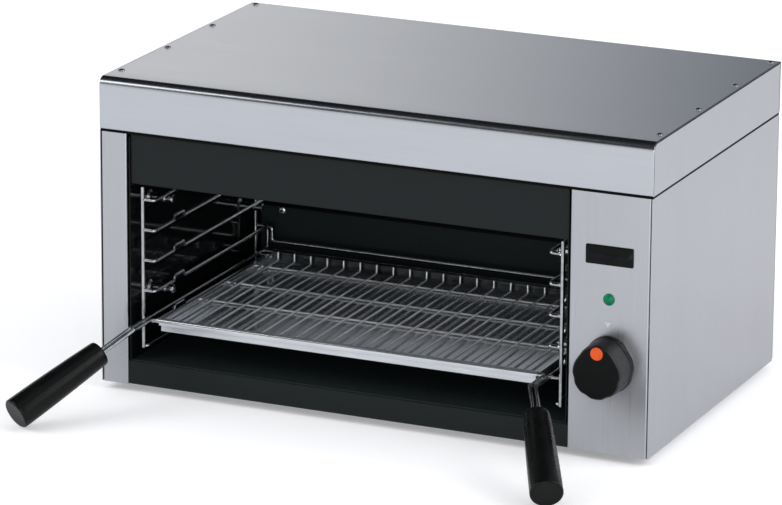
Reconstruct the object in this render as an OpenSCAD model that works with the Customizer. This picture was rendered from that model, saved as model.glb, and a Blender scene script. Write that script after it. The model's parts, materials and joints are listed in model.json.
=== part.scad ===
// Countertop cheese melter: an open-fronted electric grill with a pull-out wire shelf.
// Millimetres, +Z up, front towards -Y. The origin lies on the table, under the middle of the whole part.

/* [Casing] */
// Width of the casing
body_w = 600; // [560:5:720]
// Depth of the casing
body_d = 358; // [320:2:430]
// Thickness of the casing sheet
sheet = 1; // [0.8:0.1:1.2]
// Height of the lower fascia, below the oven's mouth
plinth_h = 25; // [20:1:40]
// Height of the upper fascia, which hides the elements
fascia_h = 53; // [48:1:70]
// Height of the hood
hood_h = 54; // [40:1:80]
// Radius of the hood's rounded front edge
hood_r = 9; // [5:0.5:14]
// Height of the dark seam between body and hood
seam_h = 2; // [1.5:0.5:4]
// Width of the front post left of the mouth
post_w = 30; // [26:1:50]
// Width of the control panel right of the mouth
control_w = 85.5; // [78:0.5:120]
// Height of the feet below the casing
foot_h = 8; // [5:1:20]
// Diameter of a foot
foot_d = 30; // [22:1:38]
// Distance from the casing's edges to a foot's centre
foot_inset = 55; // [40:1:70]

/* [Oven] */
// Distance from the casing's back to the oven's back wall
rear_space = 48; // [35:1:60]
// Number of shelf levels
levels = 5; // [3:1:6]
// Height from one shelf level to the next
level_pitch = 32; // [29:0.5:40]
// Height of the lowest runner above the oven's floor
first_level = 41; // [36:1:55]
// Height from the highest runner up to the upper fascia
headroom = 17; // [14:1:30]
// Diameter of a heating element
element_d = 6.5; // [5:0.1:8]
// Distance between the two legs of an element
element_span = 36; // [26:1:44]

/* [Racks and shelf] */
// Diameter of the rack and shelf wires
wire_d = 4; // [3:0.1:4.8]
// Distance from the oven's side wall to a rack's uprights
upright_gap = 9; // [7:0.5:12]
// Distance from a rack's uprights to its runners
runner_reach = 13.5; // [12:0.5:18]
// Distance between the two parallel wires of a handle
wire_pitch = 5.5; // [5:0.1:7]
// Height of the stop humps in the runners
hump_h = 5; // [4:0.5:6]
// How far the shelf pulls out before it meets the humps
shelf_travel = 195; // [120:5:205]
// Gap left where one loose piece rests on another
rest_gap = 0.3; // [0.1:0.05:0.4]

/* [Handles] */
// Distance from the front bar to the bend of the handles
handle_out = 36.4; // [25:0.1:60]
// Angle by which the handles spread sideways
splay = 28.3; // [10:0.1:40]
// Angle by which the handles droop
droop = 23.8; // [10:0.1:28]
// Length of bare wire between the bend and the grip
handle_wire = 43.5; // [30:0.5:60]
// Length of a grip
grip_l = 112; // [80:1:130]
// Diameter of a grip at its wire end
grip_neck_d = 26.5; // [20:0.5:30]
// Diameter of a grip at its free end
grip_end_d = 33; // [26:0.5:36]

/* [Drip tray and toasting grid] */
// Thickness of the tray's sheet
tray_t = 0.8; // [0.6:0.1:1]
// Depth of the tray below the shelf's wires
tray_drop = 10.8; // [9:0.1:16]
// Gap between the tray's side walls and the runners
tray_gap = 8.5; // [6:0.5:14]
// Diameter of the grid's wires
grid_d = 2.5; // [2:0.1:3]
// Number of rods between the grid's two border rods
grid_rods = 20; // [14:1:24]
// Number of cross wires under the rods
grid_cross = 3; // [3:1:6]
// Height of the turned-up rear ends above the rods
grid_turn_up = 9.5; // [7:0.5:14]

/* [Controls] */
// Diameter of the knob
knob_d = 54.4; // [44:0.2:60]
// Depth of the knob
knob_depth = 29.5; // [20:0.5:36]
// How far the middle of the knob's nose lies from the knob's axis
knob_nose = 10.5; // [8:0.5:14]
// Radius of the nose
knob_nose_r = 21.1; // [17:0.1:24]
// Depth of the finger scallops round the knob
scallop = 0.9; // [0.3:0.1:2]
// Height of the knob's centre above the casing's bottom
knob_z = 89.8; // [60:0.1:110]
// Diameter of the coloured dot
dot_d = 13.5; // [6:0.5:15]
// Diameter of the shaft
shaft_d = 6; // [5:0.5:8]
// Height of the neon's centre above the casing's bottom
neon_z = 158.5; // [150:0.5:180]
// Diameter of the neon's lens
neon_d = 12; // [8:0.5:16]
// Width of the plate above the neon
plate_w = 50; // [30:1:60]
// Height of the plate above the neon
plate_h = 19.5; // [12:0.5:25]
// Height of that plate's centre above the casing's bottom
plate_z = 203; // [195:0.5:215]
// Radius of the gland's hole for the supply cable
gland_r = 4.5; // [3:0.25:6]
// Height of the gland's centre above the casing's bottom
gland_z = 45; // [30:1:90]

/* [Hidden] */
$fn = 32;

// Colours
steel = "#b2b6bd";
steel_light = "#c3c6cc";
bright_wire = "#d5d8da";
black_enamel = "#26292c";
dark_liner = "#55595c";
black_plastic = "#141617";
rubber = "#1b1b1b";
sheath = "#4a4643";
fibre = "#d8d4c8";
screw_steel = "#8f9499";
orange = "#f06020";
green = "#0e8a5a";
ceramic = "#e8e4da";
wire_coat = "#b9502f";

// Gaps and folds of the casing
fit_gap = 0.3;          // left between pieces that are fastened together side by side
fold_r = 1.5;           // centre radius of a fold
lip = 13;               // width of the casing's inner flanges
post_return = 15;       // depth of the folds behind the front post and the control panel
post_seam = 0.6;        // dark line between a side panel and the front piece beside it
plinth_set_back = 1;    // the lower fascia lies this far behind the front
fascia_set_back = 4;    // and the upper fascia this far
seal_inset = 3;
seal_w = 8;

// Heights, counted from the casing's bottom
floor_z = plinth_h + sheet;
mouth_top = floor_z + first_level + (levels - 1) * level_pitch + headroom;
body_top = mouth_top + fascia_h;
hood_z = body_top + seam_h;
body_h = hood_z + hood_h;
liner_z = 2 * sheet;
liner_top = body_top - 3 * sheet;
function level_z(i) = floor_z + first_level + i * level_pitch;

// The oven's inner faces
liner_gap = 2;
oven_left = post_w + liner_gap + sheet;
oven_right = body_w - control_w - liner_gap - sheet;
oven_mid = (oven_left + oven_right) / 2;
oven_front = 2;
oven_back = body_d - rear_space;

// Wires
wire_bend = 3;          // centre radius of a bend in a rack wire
frame_bend = 2.6;       // and in a shelf wire
bend_swell = 0.04;      // bends are this much fatter, so that their surfaces cross the straight ones
bite = 0.2;             // and straight runs reach this far into them
upright_d = wire_d + 0.5; // a rack's uprights are thicker, so that runners end in their sides
upright_x = oven_left + upright_gap;
runner_x = upright_x + runner_reach;
rack_front = 12;
rack_rear = oven_back - 33;
rack_foot = level_z(0) - 29;
rack_top = level_z(levels - 1) + 13;

// The shelf lies on the lowest runners
frame_z = level_z(0) + wire_d + rest_gap;
side_x = runner_x - wire_pitch;
front_bar_y = 2;
lower_bar_y = rack_rear + 2;
hoop_y = lower_bar_y + 11;
hoop_top = level_z(1) - wire_d - 1;
rear_bar_z = frame_z + 8.5;
hump_len = 25;
hump_ramp = 3;
hump_rear = lower_bar_y - shelf_travel - wire_d - 1;

// Handles: unit direction of the left one, and where its two wires bend
handle_dir = [-sin(splay) * cos(droop), -cos(splay) * cos(droop), -sin(droop)];
bend_outer = [side_x, front_bar_y - handle_out, frame_z];
bend_inner = bend_outer + [wire_pitch, handle_dir[0] * wire_pitch / (1 - handle_dir[1]), 0];
bend_middle = (bend_outer + bend_inner) / 2;
grip_start = bend_middle + handle_dir * handle_wire;
grip_end = grip_start + handle_dir * grip_l;
wire_in_grip = 60;
grip_hole_gap = 0.1;

// Tray
tray_x0 = runner_x + tray_gap + wire_d / 2;
tray_x1 = 2 * oven_mid - tray_x0;
tray_rim = 3.5;
tray_floor = frame_z - tray_drop;           // upper face of the tray's floor
hook_r = wire_d / 2 + rest_gap + tray_t / 2; // centre radius of the hooks over the bars
hook_flat = 0.2;
hook_skirt = 3.5;
tray_front = front_bar_y + hook_r + hook_flat / 2;
tray_rear = lower_bar_y - hook_r - hook_flat / 2;

// Grid
cross_z = tray_floor + rest_gap + grid_d / 2;
weld_sink = 0.3;                            // how deep crossing wires are welded into each other
rod_z = cross_z + grid_d - weld_sink;
rod_front = tray_front + 4.2;
rod_rear = tray_rear - 4;
rod_left = tray_x0 + 5;
rod_pitch = (2 * oven_mid - 2 * rod_left) / (grid_rods + 1);

// Elements
element_z = mouth_top + 16;
element_first_y = 75;
element_pitch = (oven_back - 2 * element_first_y) / 2;
element_left = oven_left + 27;
element_end = oven_right + 14;
reflector_z = element_z + 18;
reflector_front = 20;
reflector_rear = oven_back - 5;
reflector_leg = level_z(1) + 15;            // lower edge of its leg in front of the back wall
hanger_inset = 85;
function element_y(i) = element_first_y + i * element_pitch;

// Controls
control_x = body_w - control_w / 2 - 1;
knob_gap = 1;
knob_recess_r = 23;
knob_recess = 4;
dot_r = knob_nose + knob_nose_r - dot_d / 2 - 3.2;
regulator_w = 44;
regulator_depth = 34;
regulator_screw_x = 14;
gland_hex = 24;
terminal_y = body_d / 2;

// Where the origin lies
function disc_reach(r, n) = r * sqrt(1 - n * n);
screw_head = 1.6;
part_left = min(0, grip_end[0] - disc_reach(grip_end_d / 2, handle_dir[0]));
part_front = grip_end[1] - disc_reach(grip_end_d / 2, handle_dir[1]);
gland_out = 9;
origin_x = (part_left + body_w) / 2;
origin_y = (part_front + body_d + gland_out) / 2;

// ---- Placing ----

// Shapes are laid out from the casing's lower front left corner
module in_place() translate([-origin_x, -origin_y, foot_h]) children();

// The same piece on the other side of the casing, or of the oven
module other_side() translate([body_w, 0, 0]) mirror([1, 0, 0]) children();
module other_rack() translate([2 * oven_mid, 0, 0]) mirror([1, 0, 0]) children();

// Profiles drawn in Y and Z run across, those in X and Z run from front to back
module across(x0, x1) translate([x0, 0, 0]) rotate([90, 0, 90]) linear_extrude(x1 - x0) children();
module front_to_back(y0, y1) translate([0, y1, 0]) rotate([90, 0, 0]) linear_extrude(y1 - y0) children();
module upward(z0, z1) translate([0, 0, z0]) linear_extrude(z1 - z0) children();
module block(low, high) translate(low) cube(high - low);

// ---- Folded sheet, drawn on edge as a path along the middle of the sheet ----

function unit(v) = v / norm(v);
function turn_angle(a, b, c) = acos(max(-1, min(1, unit(b - a) * unit(c - b))));
function set_back(a, b, c, r) = r * tan(turn_angle(a, b, c) / 2);
function heading(v) = atan2(v[1], v[0]);
function turns_left(a, b, c) = (b - a)[0] * (c - b)[1] > (b - a)[1] * (c - b)[0];
function fold_at(r, i) = is_list(r) ? r[i - 1] : r;

module flat(p, q, t) translate(p) rotate(heading(q - p)) translate([0, -t / 2]) square([norm(q - p), t]);

// A square fold of centre radius r at b
module fold(a, b, c, r, t) {
    translate(b - unit(b - a) * r) rotate(heading(b - a)) mirror([0, turns_left(a, b, c) ? 0 : 1])
    translate([0, r]) intersection() {
        difference() {
            circle(r + t / 2);
            circle(r - t / 2);
        }
        translate([0, -r - t]) square(r + t);
    }
}

module folded(points, r, t) {
    last = len(points) - 1;
    for (i = [0:last - 1]) {
        a = points[i];
        b = points[i + 1];
        before = i == 0 ? 0 : fold_at(r, i);
        after = i == last - 1 ? 0 : fold_at(r, i + 1);
        flat(a + unit(b - a) * before, b - unit(b - a) * after, t);
    }
    for (i = [1:last - 1]) fold(points[i - 1], points[i], points[i + 1], fold_at(r, i), t);
}

// ---- Bent wire, given as the corners of its middle line ----

module aim(v) rotate([0, acos(v[2] / norm(v)), atan2(v[1], v[0])]) children();
module straight(p, q, d) translate(p) aim(q - p) cylinder(h = norm(q - p), d = d);

// One bend of radius r at b, between the runs from a and to c
module elbow(a, b, c, r, d) {
    along = unit(b - a);
    axis = unit(cross(along, unit(c - b)));
    inward = cross(axis, along);
    centre = b - along * set_back(a, b, c, r) + inward * r;
    multmatrix([
        [-inward[0], along[0], axis[0], centre[0]],
        [-inward[1], along[1], axis[1], centre[1]],
        [-inward[2], along[2], axis[2], centre[2]],
        [0, 0, 0, 1]
    ])
    rotate_extrude(angle = turn_angle(a, b, c)) translate([r, 0]) circle(d = d + bend_swell);
}

module bent_wire(points, r, d) {
    last = len(points) - 1;
    for (i = [0:last - 1]) {
        a = points[i];
        b = points[i + 1];
        before = i == 0 ? 0 : set_back(points[i - 1], a, b, r) - bite;
        after = i == last - 1 ? 0 : set_back(a, b, points[i + 2], r) - bite;
        straight(a + unit(b - a) * before, b - unit(b - a) * after, d);
    }
    for (i = [1:last - 1]) elbow(points[i - 1], points[i], points[i + 1], r, d);
}

// ---- Small parts ----

screw_recess = 1;
screw_recess_w = 0.9;

// A pan-head screw standing on Z = 0, its cross recess on top and its shank below
module screw(head_d, shank_d, shank_l) difference() {
    rotate_extrude() polygon([
        [0, screw_head], [head_d * 0.28, screw_head], [head_d / 2, screw_head * 0.4], [head_d / 2, 0],
        [shank_d / 2, 0], [shank_d / 2, -shank_l], [0, -shank_l]
    ]);
    for (turn = [0, 90]) rotate(turn) translate([-head_d / 4, -screw_recess_w / 2, screw_head - screw_recess])
        cube([head_d / 2, screw_recess_w, 2 * screw_recess]);
}

// A slot with round ends, its length along X
module slot(l, w) {
    translate([-(l - w) / 2, -w / 2]) square([l - w, w]);
    for (side = [-1, 1]) translate([side * (l - w) / 2, 0]) circle(d = w);
}

module rounded(w, h, r) {
    translate([-w / 2 + r, -h / 2]) square([w - 2 * r, h]);
    translate([-w / 2, -h / 2 + r]) square([w, h - 2 * r]);
    for (sx = [-1, 1], sz = [-1, 1]) translate([sx * (w / 2 - r), sz * (h / 2 - r)]) circle(r);
}

// ---- Base ----

foot_screw_d = 4;
foot_screw_l = 6;
vent_l = 40;
vent_w = 4;
vent_pitch = 12;

function foot_at(right, rear) = [
    right ? body_w - foot_inset : foot_inset,
    rear ? body_d - foot_inset : foot_inset
];
module at_each_foot() for (right = [false, true], rear = [false, true]) translate(foot_at(right, rear)) children();

// A row of vents whose middle is at the child's origin
module vents(n, l) for (i = [0:n - 1]) translate([0, (i - (n - 1) / 2) * vent_pitch]) slot(l, vent_w);

module base_tray() color(steel) in_place() difference() {
    y0 = plinth_set_back + sheet + fit_gap;
    y1 = body_d - 2 * sheet - fit_gap;
    across(sheet + fit_gap, body_w - sheet - fit_gap) folded([
        [y0 + sheet / 2, lip], [y0 + sheet / 2, 1.5 * sheet],
        [y1 - sheet / 2, 1.5 * sheet], [y1 - sheet / 2, lip]
    ], fold_r, sheet);
    at_each_foot() cylinder(h = 4 * sheet, d = foot_screw_d + 2 * fit_gap);
    for (y = [body_d * 0.35, body_d * 0.65]) translate([control_x, y, 0]) linear_extrude(4 * sheet)
        vents(4, vent_l);
    // clear of the folds behind the front post and the control panel
    for (x = [[0, oven_left + fit_gap], [oven_right - fit_gap, body_w]])
        block([x[0], 0, 0], [x[1], post_return + 1, lip + 1]);
}

module foot(right, rear) color(rubber) in_place() translate(foot_at(right, rear)) difference() {
    rotate_extrude() polygon([
        [0, -foot_h], [foot_d / 2 - 3, -foot_h], [foot_d / 2 - 2, -foot_h + 1],
        [foot_d / 2, sheet - 1], [foot_d / 2, sheet], [0, sheet]
    ]);
    translate([0, 0, 2 * sheet - foot_screw_l]) cylinder(h = foot_screw_l, d = foot_screw_d);
}
module foot_front_left() foot(false, false);
module foot_front_right() foot(true, false);
module foot_rear_left() foot(false, true);
module foot_rear_right() foot(true, true);

module foot_screws() color(screw_steel) in_place() at_each_foot() translate([0, 0, 2 * sheet])
    screw(9, foot_screw_d, foot_screw_l);

// ---- Outer casing ----

back_screw_d = 4;
back_screws_high = 3;

module side_panel() {
    back = body_d - 1.5 * sheet;
    upward(0, body_top) folded([[sheet / 2, 0], [sheet / 2, back], [lip, back]], fold_r, sheet);
    for (z = [0, body_top - sheet]) block([0, post_return + 2, z], [lip, body_d - 4 * sheet, z + sheet]);
}

// Places on the flanges at the casing's back
module at_back_screws() for (x = [lip / 2 + 1, body_w - lip / 2 - 1], i = [0:back_screws_high - 1])
    translate([x, body_d, body_top * (0.1 + 0.8 * i / (back_screws_high - 1))]) rotate([-90, 0, 0]) children();

module back_screw_holes() at_back_screws() translate([0, 0, -4 * sheet])
    cylinder(h = 8 * sheet, d = back_screw_d + 2 * fit_gap);

module left_side_panel() color(steel) in_place() difference() {
    side_panel();
    back_screw_holes();
}
module right_side_panel() color(steel) in_place() difference() {
    other_side() side_panel();
    back_screw_holes();
}

// A front piece from x0 to x1, folded back along both edges
module front_piece(x0, x1) upward(0, body_top) folded([
    [x0 + sheet / 2, post_return], [x0 + sheet / 2, sheet / 2],
    [x1 - sheet / 2, sheet / 2], [x1 - sheet / 2, post_return]
], fold_r, sheet);

module left_post() color(steel) in_place() front_piece(sheet + post_seam, post_w);

module control_panel() color(steel) in_place() difference() {
    front_piece(body_w - control_w, body_w - sheet - post_seam);
    translate([control_x, 2 * sheet, neon_z]) rotate([90, 0, 0]) cylinder(h = 3 * sheet, d = neon_d - 3);
    translate([control_x, 2 * sheet, knob_z]) rotate([90, 0, 0]) {
        cylinder(h = 3 * sheet, d = bush_d + 2 * fit_gap);
        at_regulator_screws() cylinder(h = 3 * sheet, d = regulator_screw_d + 2 * fit_gap);
    }
}

module back_panel() color(steel) in_place() difference() {
    front_to_back(body_d - sheet, body_d) translate([body_w / 2, body_top / 2])
        rounded(body_w - 2 * fit_gap, body_top - 2 * fit_gap, 3);
    for (x = [body_w * 0.25, body_w * 0.5, body_w * 0.75]) front_to_back(body_d - 2 * sheet, body_d + sheet)
        translate([x, body_top - 50]) vents(4, 70);
    translate([control_x, body_d - 2 * sheet, gland_z]) rotate([-90, 0, 0])
        cylinder(h = 4 * sheet, d = gland_thread_d + 2 * fit_gap);
    back_screw_holes();
    bracket_screw_holes();
}

module back_screws() color(screw_steel) in_place() {
    at_back_screws() screw(8, back_screw_d, 5);
    at_bracket_back() screw(8, back_screw_d, 5);
}

// ---- Hood ----

cover_screw_inset = 8;
cover_screw_first = 34;
cover_screw_last = 9;
cover_screw_d = 4;
hood_end_in = 0.3;      // the end plates lie this far inside the cover's ends
hood_edge = sheet + 0.5; // and their outline this far inside the cover's outside
hood_rear_r = 1;

module at_cover_screws() for (x = [cover_screw_inset, body_w - cover_screw_inset], i = [0:3])
    translate([x, cover_screw_first + i * (body_d - cover_screw_first - cover_screw_last) / 3, body_h]) children();

module cover_screw_holes() at_cover_screws() translate([0, 0, -10]) cylinder(h = 20, d = cover_screw_d + 2 * fit_gap);

module top_cover() color(steel_light) in_place() difference() {
    across(0, body_w) folded([
        [lip, hood_z + sheet / 2], [sheet / 2, hood_z + sheet / 2], [sheet / 2, body_h - sheet / 2],
        [body_d - sheet / 2, body_h - sheet / 2], [body_d - sheet / 2, hood_z + sheet / 2],
        [body_d - lip, hood_z + sheet / 2]
    ], [fold_r, hood_r - sheet / 2, fold_r, fold_r], sheet);
    cover_screw_holes();
    // the lower lips stop short of the end plates
    for (x = [-1, body_w - lip - 2])
        block([x, sheet + fit_gap, hood_z - 1], [x + lip + 3, body_d - sheet - fit_gap, hood_z + 4]);
}

// An end plate's outline, which follows the inside of the cover
module hood_end_outline() {
    r = hood_r - hood_edge;
    top = body_h - hood_edge;
    translate([hood_edge, hood_z]) square([body_d - 2 * hood_edge, top - r - hood_z]);
    translate([hood_edge + r, hood_z]) square([body_d - 2 * hood_edge - r - hood_rear_r, top - hood_z]);
    translate([body_d / 2, hood_z]) square([body_d / 2 - hood_edge, top - hood_rear_r - hood_z]);
    translate([hood_edge + r, top - r]) circle(r);
    translate([body_d - hood_edge - hood_rear_r, top - hood_rear_r]) circle(hood_rear_r);
}

module hood_end() {
    top = body_h - hood_edge;
    across(hood_end_in, hood_end_in + sheet) hood_end_outline();
    block([hood_end_in, hood_r + 4, top - sheet], [lip + 3, body_d - hood_edge - 2, top]);
    block([hood_end_in, 4 * sheet, hood_z], [lip, body_d - 4 * sheet, hood_z + sheet]);
}
module hood_end_left() color(steel) in_place() difference() {
    hood_end();
    cover_screw_holes();
}
module hood_end_right() color(steel) in_place() difference() {
    other_side() hood_end();
    cover_screw_holes();
}

module cover_screws() color(screw_steel) in_place() at_cover_screws() screw(7, cover_screw_d, 6);

module hood_seal() color(black_enamel) in_place() upward(body_top, hood_z) difference() {
    translate([seal_inset, seal_inset]) square([body_w - 2 * seal_inset, body_d - 2 * seal_inset]);
    inner = seal_inset + seal_w;
    translate([inner, inner]) square([body_w - 2 * inner, body_d - 2 * inner]);
}

// ---- Fascias ----

fascia_lip = 12;
fascia_screw_d = 4;

module lower_fascia() color(black_enamel) in_place()
    across(post_w + fit_gap, body_w - control_w - fit_gap) folded([
        [post_return, sheet / 2], [plinth_set_back + sheet / 2, sheet / 2],
        [plinth_set_back + sheet / 2, plinth_h - sheet / 2], [post_return, plinth_h - sheet / 2]
    ], fold_r, sheet);

// Two screws at each end of the upper fascia, driven outward into the liner
module at_fascia_screws() for (right = [0, 1], k = [0.3, 0.7])
    translate([right ? oven_right - fit_gap - sheet : oven_left + fit_gap + sheet,
        fascia_set_back + fascia_lip - 4, mouth_top + k * fascia_h])
    rotate([0, right ? -90 : 90, 0]) children();

module fascia_screw_holes() at_fascia_screws() translate([0, 0, -6]) cylinder(h = 12, d = fascia_screw_d + 2 * fit_gap);

module upper_fascia() color(black_enamel) in_place() difference() {
    y = fascia_set_back + sheet / 2;
    back = fascia_set_back + fascia_lip;
    union() {
        across(oven_left + fit_gap, oven_right - fit_gap) folded([
            [back, mouth_top + sheet / 2], [y, mouth_top + sheet / 2],
            [y, body_top - sheet / 2], [back, body_top - sheet / 2]
        ], fold_r, sheet);
        for (x = [oven_left + fit_gap, oven_right - fit_gap - sheet])
            block([x, y, mouth_top + 3], [x + sheet, back, body_top - 3]);
    }
    fascia_screw_holes();
}

module fascia_screws() color(screw_steel) in_place() at_fascia_screws() screw(8, fascia_screw_d, 4);

// ---- Oven liner ----

bracket_w = 30;
bracket_t = 1.5;
bracket_flange = 14;
element_hole_gap = 0.5;

module liner_side_plate() {
    // in front the plate stands on the lower fascia, behind it on the base
    block([oven_left - sheet, oven_front, plinth_h + fit_gap], [oven_left, oven_back, liner_top]);
    block([oven_left - sheet, post_return + 1, liner_z], [oven_left, oven_back, liner_top]);
    for (z = [liner_z, liner_top - sheet])
        block([oven_left - sheet - lip, post_return + 2, z], [oven_left, oven_back, z + sheet]);
}

module liner_left() color(dark_liner) in_place() difference() {
    liner_side_plate();
    at_studs() translate([0, 0, -4 * sheet]) cylinder(h = 8 * sheet, d = stud_thread_d + 2 * fit_gap);
    fascia_screw_holes();
}

module liner_right() color(dark_liner) in_place() difference() {
    other_rack() difference() {
        liner_side_plate();
        at_studs() translate([0, 0, -4 * sheet]) cylinder(h = 8 * sheet, d = stud_thread_d + 2 * fit_gap);
    }
    for (i = [0:2], side = [-1, 1]) translate([oven_right - sheet, element_y(i) + side * element_span / 2, element_z])
        rotate([0, 90, 0]) cylinder(h = 3 * sheet, d = element_d + 2 * element_hole_gap);
    fascia_screw_holes();
}

module liner_back() color(dark_liner) in_place() difference() {
    y = oven_back + sheet / 2;
    across(oven_left - sheet, oven_right + sheet) folded([
        [y + lip, liner_z + sheet / 2], [y, liner_z + sheet / 2],
        [y, liner_top - sheet / 2], [y + lip, liner_top - sheet / 2]
    ], fold_r, sheet);
    bracket_screw_holes();
}

module liner_floor() color(dark_liner) in_place() {
    x0 = oven_left + fit_gap;
    x1 = oven_right - fit_gap;
    block([x0, oven_front + sheet, floor_z - sheet], [x1, oven_back - fit_gap, floor_z]);
    for (x = [x0, x1 - sheet]) block([x, post_return + 2, floor_z - lip], [x + sheet, oven_back - fit_gap, floor_z]);
}

// Z-shaped brackets that tie the liner to the back panel, two on each side
function bracket_x(right) = right ? oven_right - 33 : oven_left + 33;
function bracket_z(high) = high ? mouth_top - 20 : level_z(1) + 9;
module at_brackets() for (right = [false, true], high = [false, true])
    translate([bracket_x(right), 0, bracket_z(high)]) children();

module rear_brackets() color(steel) in_place() at_brackets() difference() {
    front = oven_back + sheet + bracket_t / 2;
    back = body_d - sheet - bracket_t / 2;
    translate([0, 0, -bracket_w / 2]) linear_extrude(bracket_w) folded([
        [-bracket_flange, front], [0, front], [0, back], [bracket_flange, back]
    ], 2, bracket_t);
    translate([-bracket_flange / 2 - 2, front - 3, 0]) rotate([-90, 0, 0])
        cylinder(h = 6, d = back_screw_d + 2 * fit_gap);
    translate([bracket_flange / 2 + 2, back - 3, 0]) rotate([-90, 0, 0])
        cylinder(h = 6, d = back_screw_d + 2 * fit_gap);
}

// Places of the brackets' screws: in the oven's back wall, and in the back panel
module at_bracket_front() at_brackets() translate([-bracket_flange / 2 - 2, oven_back, 0]) rotate([90, 0, 0]) children();
module at_bracket_back() at_brackets() translate([bracket_flange / 2 + 2, body_d, 0]) rotate([-90, 0, 0]) children();
module bracket_screw_holes() {
    at_bracket_front() translate([0, 0, -4]) cylinder(h = 8, d = back_screw_d + 2 * fit_gap);
    at_bracket_back() translate([0, 0, -4]) cylinder(h = 8, d = back_screw_d + 2 * fit_gap);
}

module liner_screws() color(bright_wire) in_place() at_bracket_front() screw(9, back_screw_d, 5);

// ---- Heating ----

collar_d = 13;
collar_l = 4;
pin_d = 3;
pin_l = 10;
hanger_drop = 26;

module heat_reflector() color(bright_wire) in_place() {
    z = reflector_z + sheet / 2;
    across(oven_left + fit_gap, oven_right - fit_gap) folded([
        [reflector_front + sheet / 2, z - 10], [reflector_front + sheet / 2, z],
        [reflector_rear - sheet / 2, z], [reflector_rear - sheet / 2, reflector_leg]
    ], fold_r, sheet);
}

module insulation() color(fibre) in_place()
    block([oven_left + 1, reflector_front, reflector_z + sheet], [oven_right - 1, reflector_rear, liner_top]);

// A hairpin element, both ends of which pass through the oven's right wall
module element(i) color(sheath) in_place() {
    ends = [for (side = [-1, 1]) element_y(i) + side * element_span / 2];
    bent_wire([
        [element_end, ends[0], element_z], [element_left, ends[0], element_z],
        [element_left, ends[1], element_z], [element_end, ends[1], element_z]
    ], 12, element_d);
    for (y = ends) translate([0, y, element_z]) rotate([0, 90, 0]) {
        translate([0, 0, oven_right + sheet]) cylinder(h = collar_l, d = collar_d);
        translate([0, 0, element_end - 1]) cylinder(h = pin_l + 1, d = pin_d);
    }
}
module element_front() element(0);
module element_middle() element(1);
module element_rear() element(2);

// A strip under the reflector with a hole for each leg of each element
module element_hanger(x) color(bright_wire) in_place() difference() {
    y0 = element_y(0) - element_span / 2 - 12;
    y1 = element_y(2) + element_span / 2 + 12;
    union() {
        block([x, y0, reflector_z - hanger_drop], [x + sheet, y1, reflector_z]);
        block([x, y0, reflector_z - sheet], [x + lip, y1, reflector_z]);
    }
    for (i = [0:2], side = [-1, 1]) translate([x - 1, element_y(i) + side * element_span / 2, element_z])
        rotate([0, 90, 0]) cylinder(h = sheet + 2, d = element_d + 2 * element_hole_gap);
}
module element_hanger_left() element_hanger(oven_left + hanger_inset);
module element_hanger_right() element_hanger(oven_right - hanger_inset);

// ---- Racks ----

stud_thread_d = 5;
stud_neck_d = 7;
stud_d = 9;
stud_flange_d = 14;
stud_front_y = 44;
stud_rear_y = rack_rear - 22;
tie_reach = 5;

// A runner with the stop hump near its front, and its two ends turned to the uprights
module runner(z) {
    crest = z + hump_h;
    bent_wire([
        [upright_x, rack_front, z], [runner_x, rack_front, z],
        [runner_x, hump_rear - hump_len, z], [runner_x, hump_rear - hump_len + hump_ramp, crest],
        [runner_x, hump_rear - hump_ramp, crest], [runner_x, hump_rear, z],
        [runner_x, rack_rear, z], [upright_x, rack_rear, z]
    ], wire_bend, wire_d);
}

module rack() {
    for (y = [rack_front, rack_rear]) straight([upright_x, y, rack_foot], [upright_x, y, rack_top], upright_d);
    for (i = [0:levels - 1]) runner(level_z(i));
    tie = rack_foot + 2;
    bent_wire([
        [upright_x, rack_front, tie], [upright_x + tie_reach, rack_front, tie],
        [upright_x + tie_reach, rack_rear, tie], [upright_x, rack_rear, tie]
    ], wire_bend, wire_d);
}
module rack_left() color(bright_wire) in_place() rack();
module rack_right() color(bright_wire) in_place() other_rack() rack();

// Studs in the oven's wall, each under a runner: [distance from the front, level it carries]
stud_places = [
    [stud_front_y, 1], [stud_front_y, levels - 1], [stud_rear_y, levels > 3 ? 2 : 1], [stud_rear_y, levels - 1]
];
module at_studs() for (place = stud_places)
    translate([oven_left, place[0], level_z(place[1]) - wire_d / 2 - stud_neck_d / 2 - 0.1]) rotate([0, 90, 0]) children();

// A stud along Z, its flange on the wall at Z = 0
module stud() {
    reach = runner_x - oven_left;
    groove = wire_d / 2 + 0.5;
    rotate_extrude() polygon([
        [0, -9], [stud_thread_d / 2, -9], [stud_thread_d / 2, 0], [stud_flange_d / 2, 0],
        [stud_flange_d / 2, 1], [stud_flange_d / 2 - 2, 2.5], [stud_d / 2, 3],
        [stud_d / 2, reach - groove - 1], [stud_neck_d / 2, reach - groove], [stud_neck_d / 2, reach + groove],
        [stud_d / 2, reach + groove + 1], [stud_d / 2, reach + groove + 2.5],
        [stud_d / 2 - 1, reach + groove + 3.5], [0, reach + groove + 3.5]
    ]);
    // the nut behind the wall
    translate([0, 0, -sheet - 4]) difference() {
        cylinder(h = 4, d = 9.2, $fn = 6);
        translate([0, 0, -1]) cylinder(h = 6, d = stud_thread_d - 0.2);
    }
}
module rack_studs_left() color(bright_wire) in_place() at_studs() stud();
module rack_studs_right() color(bright_wire) in_place() other_rack() at_studs() stud();

// ---- Shelf: one long wire round the sides and the rear, one across the front, a bar at the rear ----

tack_d = 2.6;
tacks = [0.25, 0.8];    // places of the welds between the two handle wires, along the straight stretch

function across_oven(p) = [2 * oven_mid - p[0], p[1], p[2]];
function and_mirrored(points) = concat(points, [for (i = [len(points) - 1:-1:0]) across_oven(points[i])]);

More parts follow.
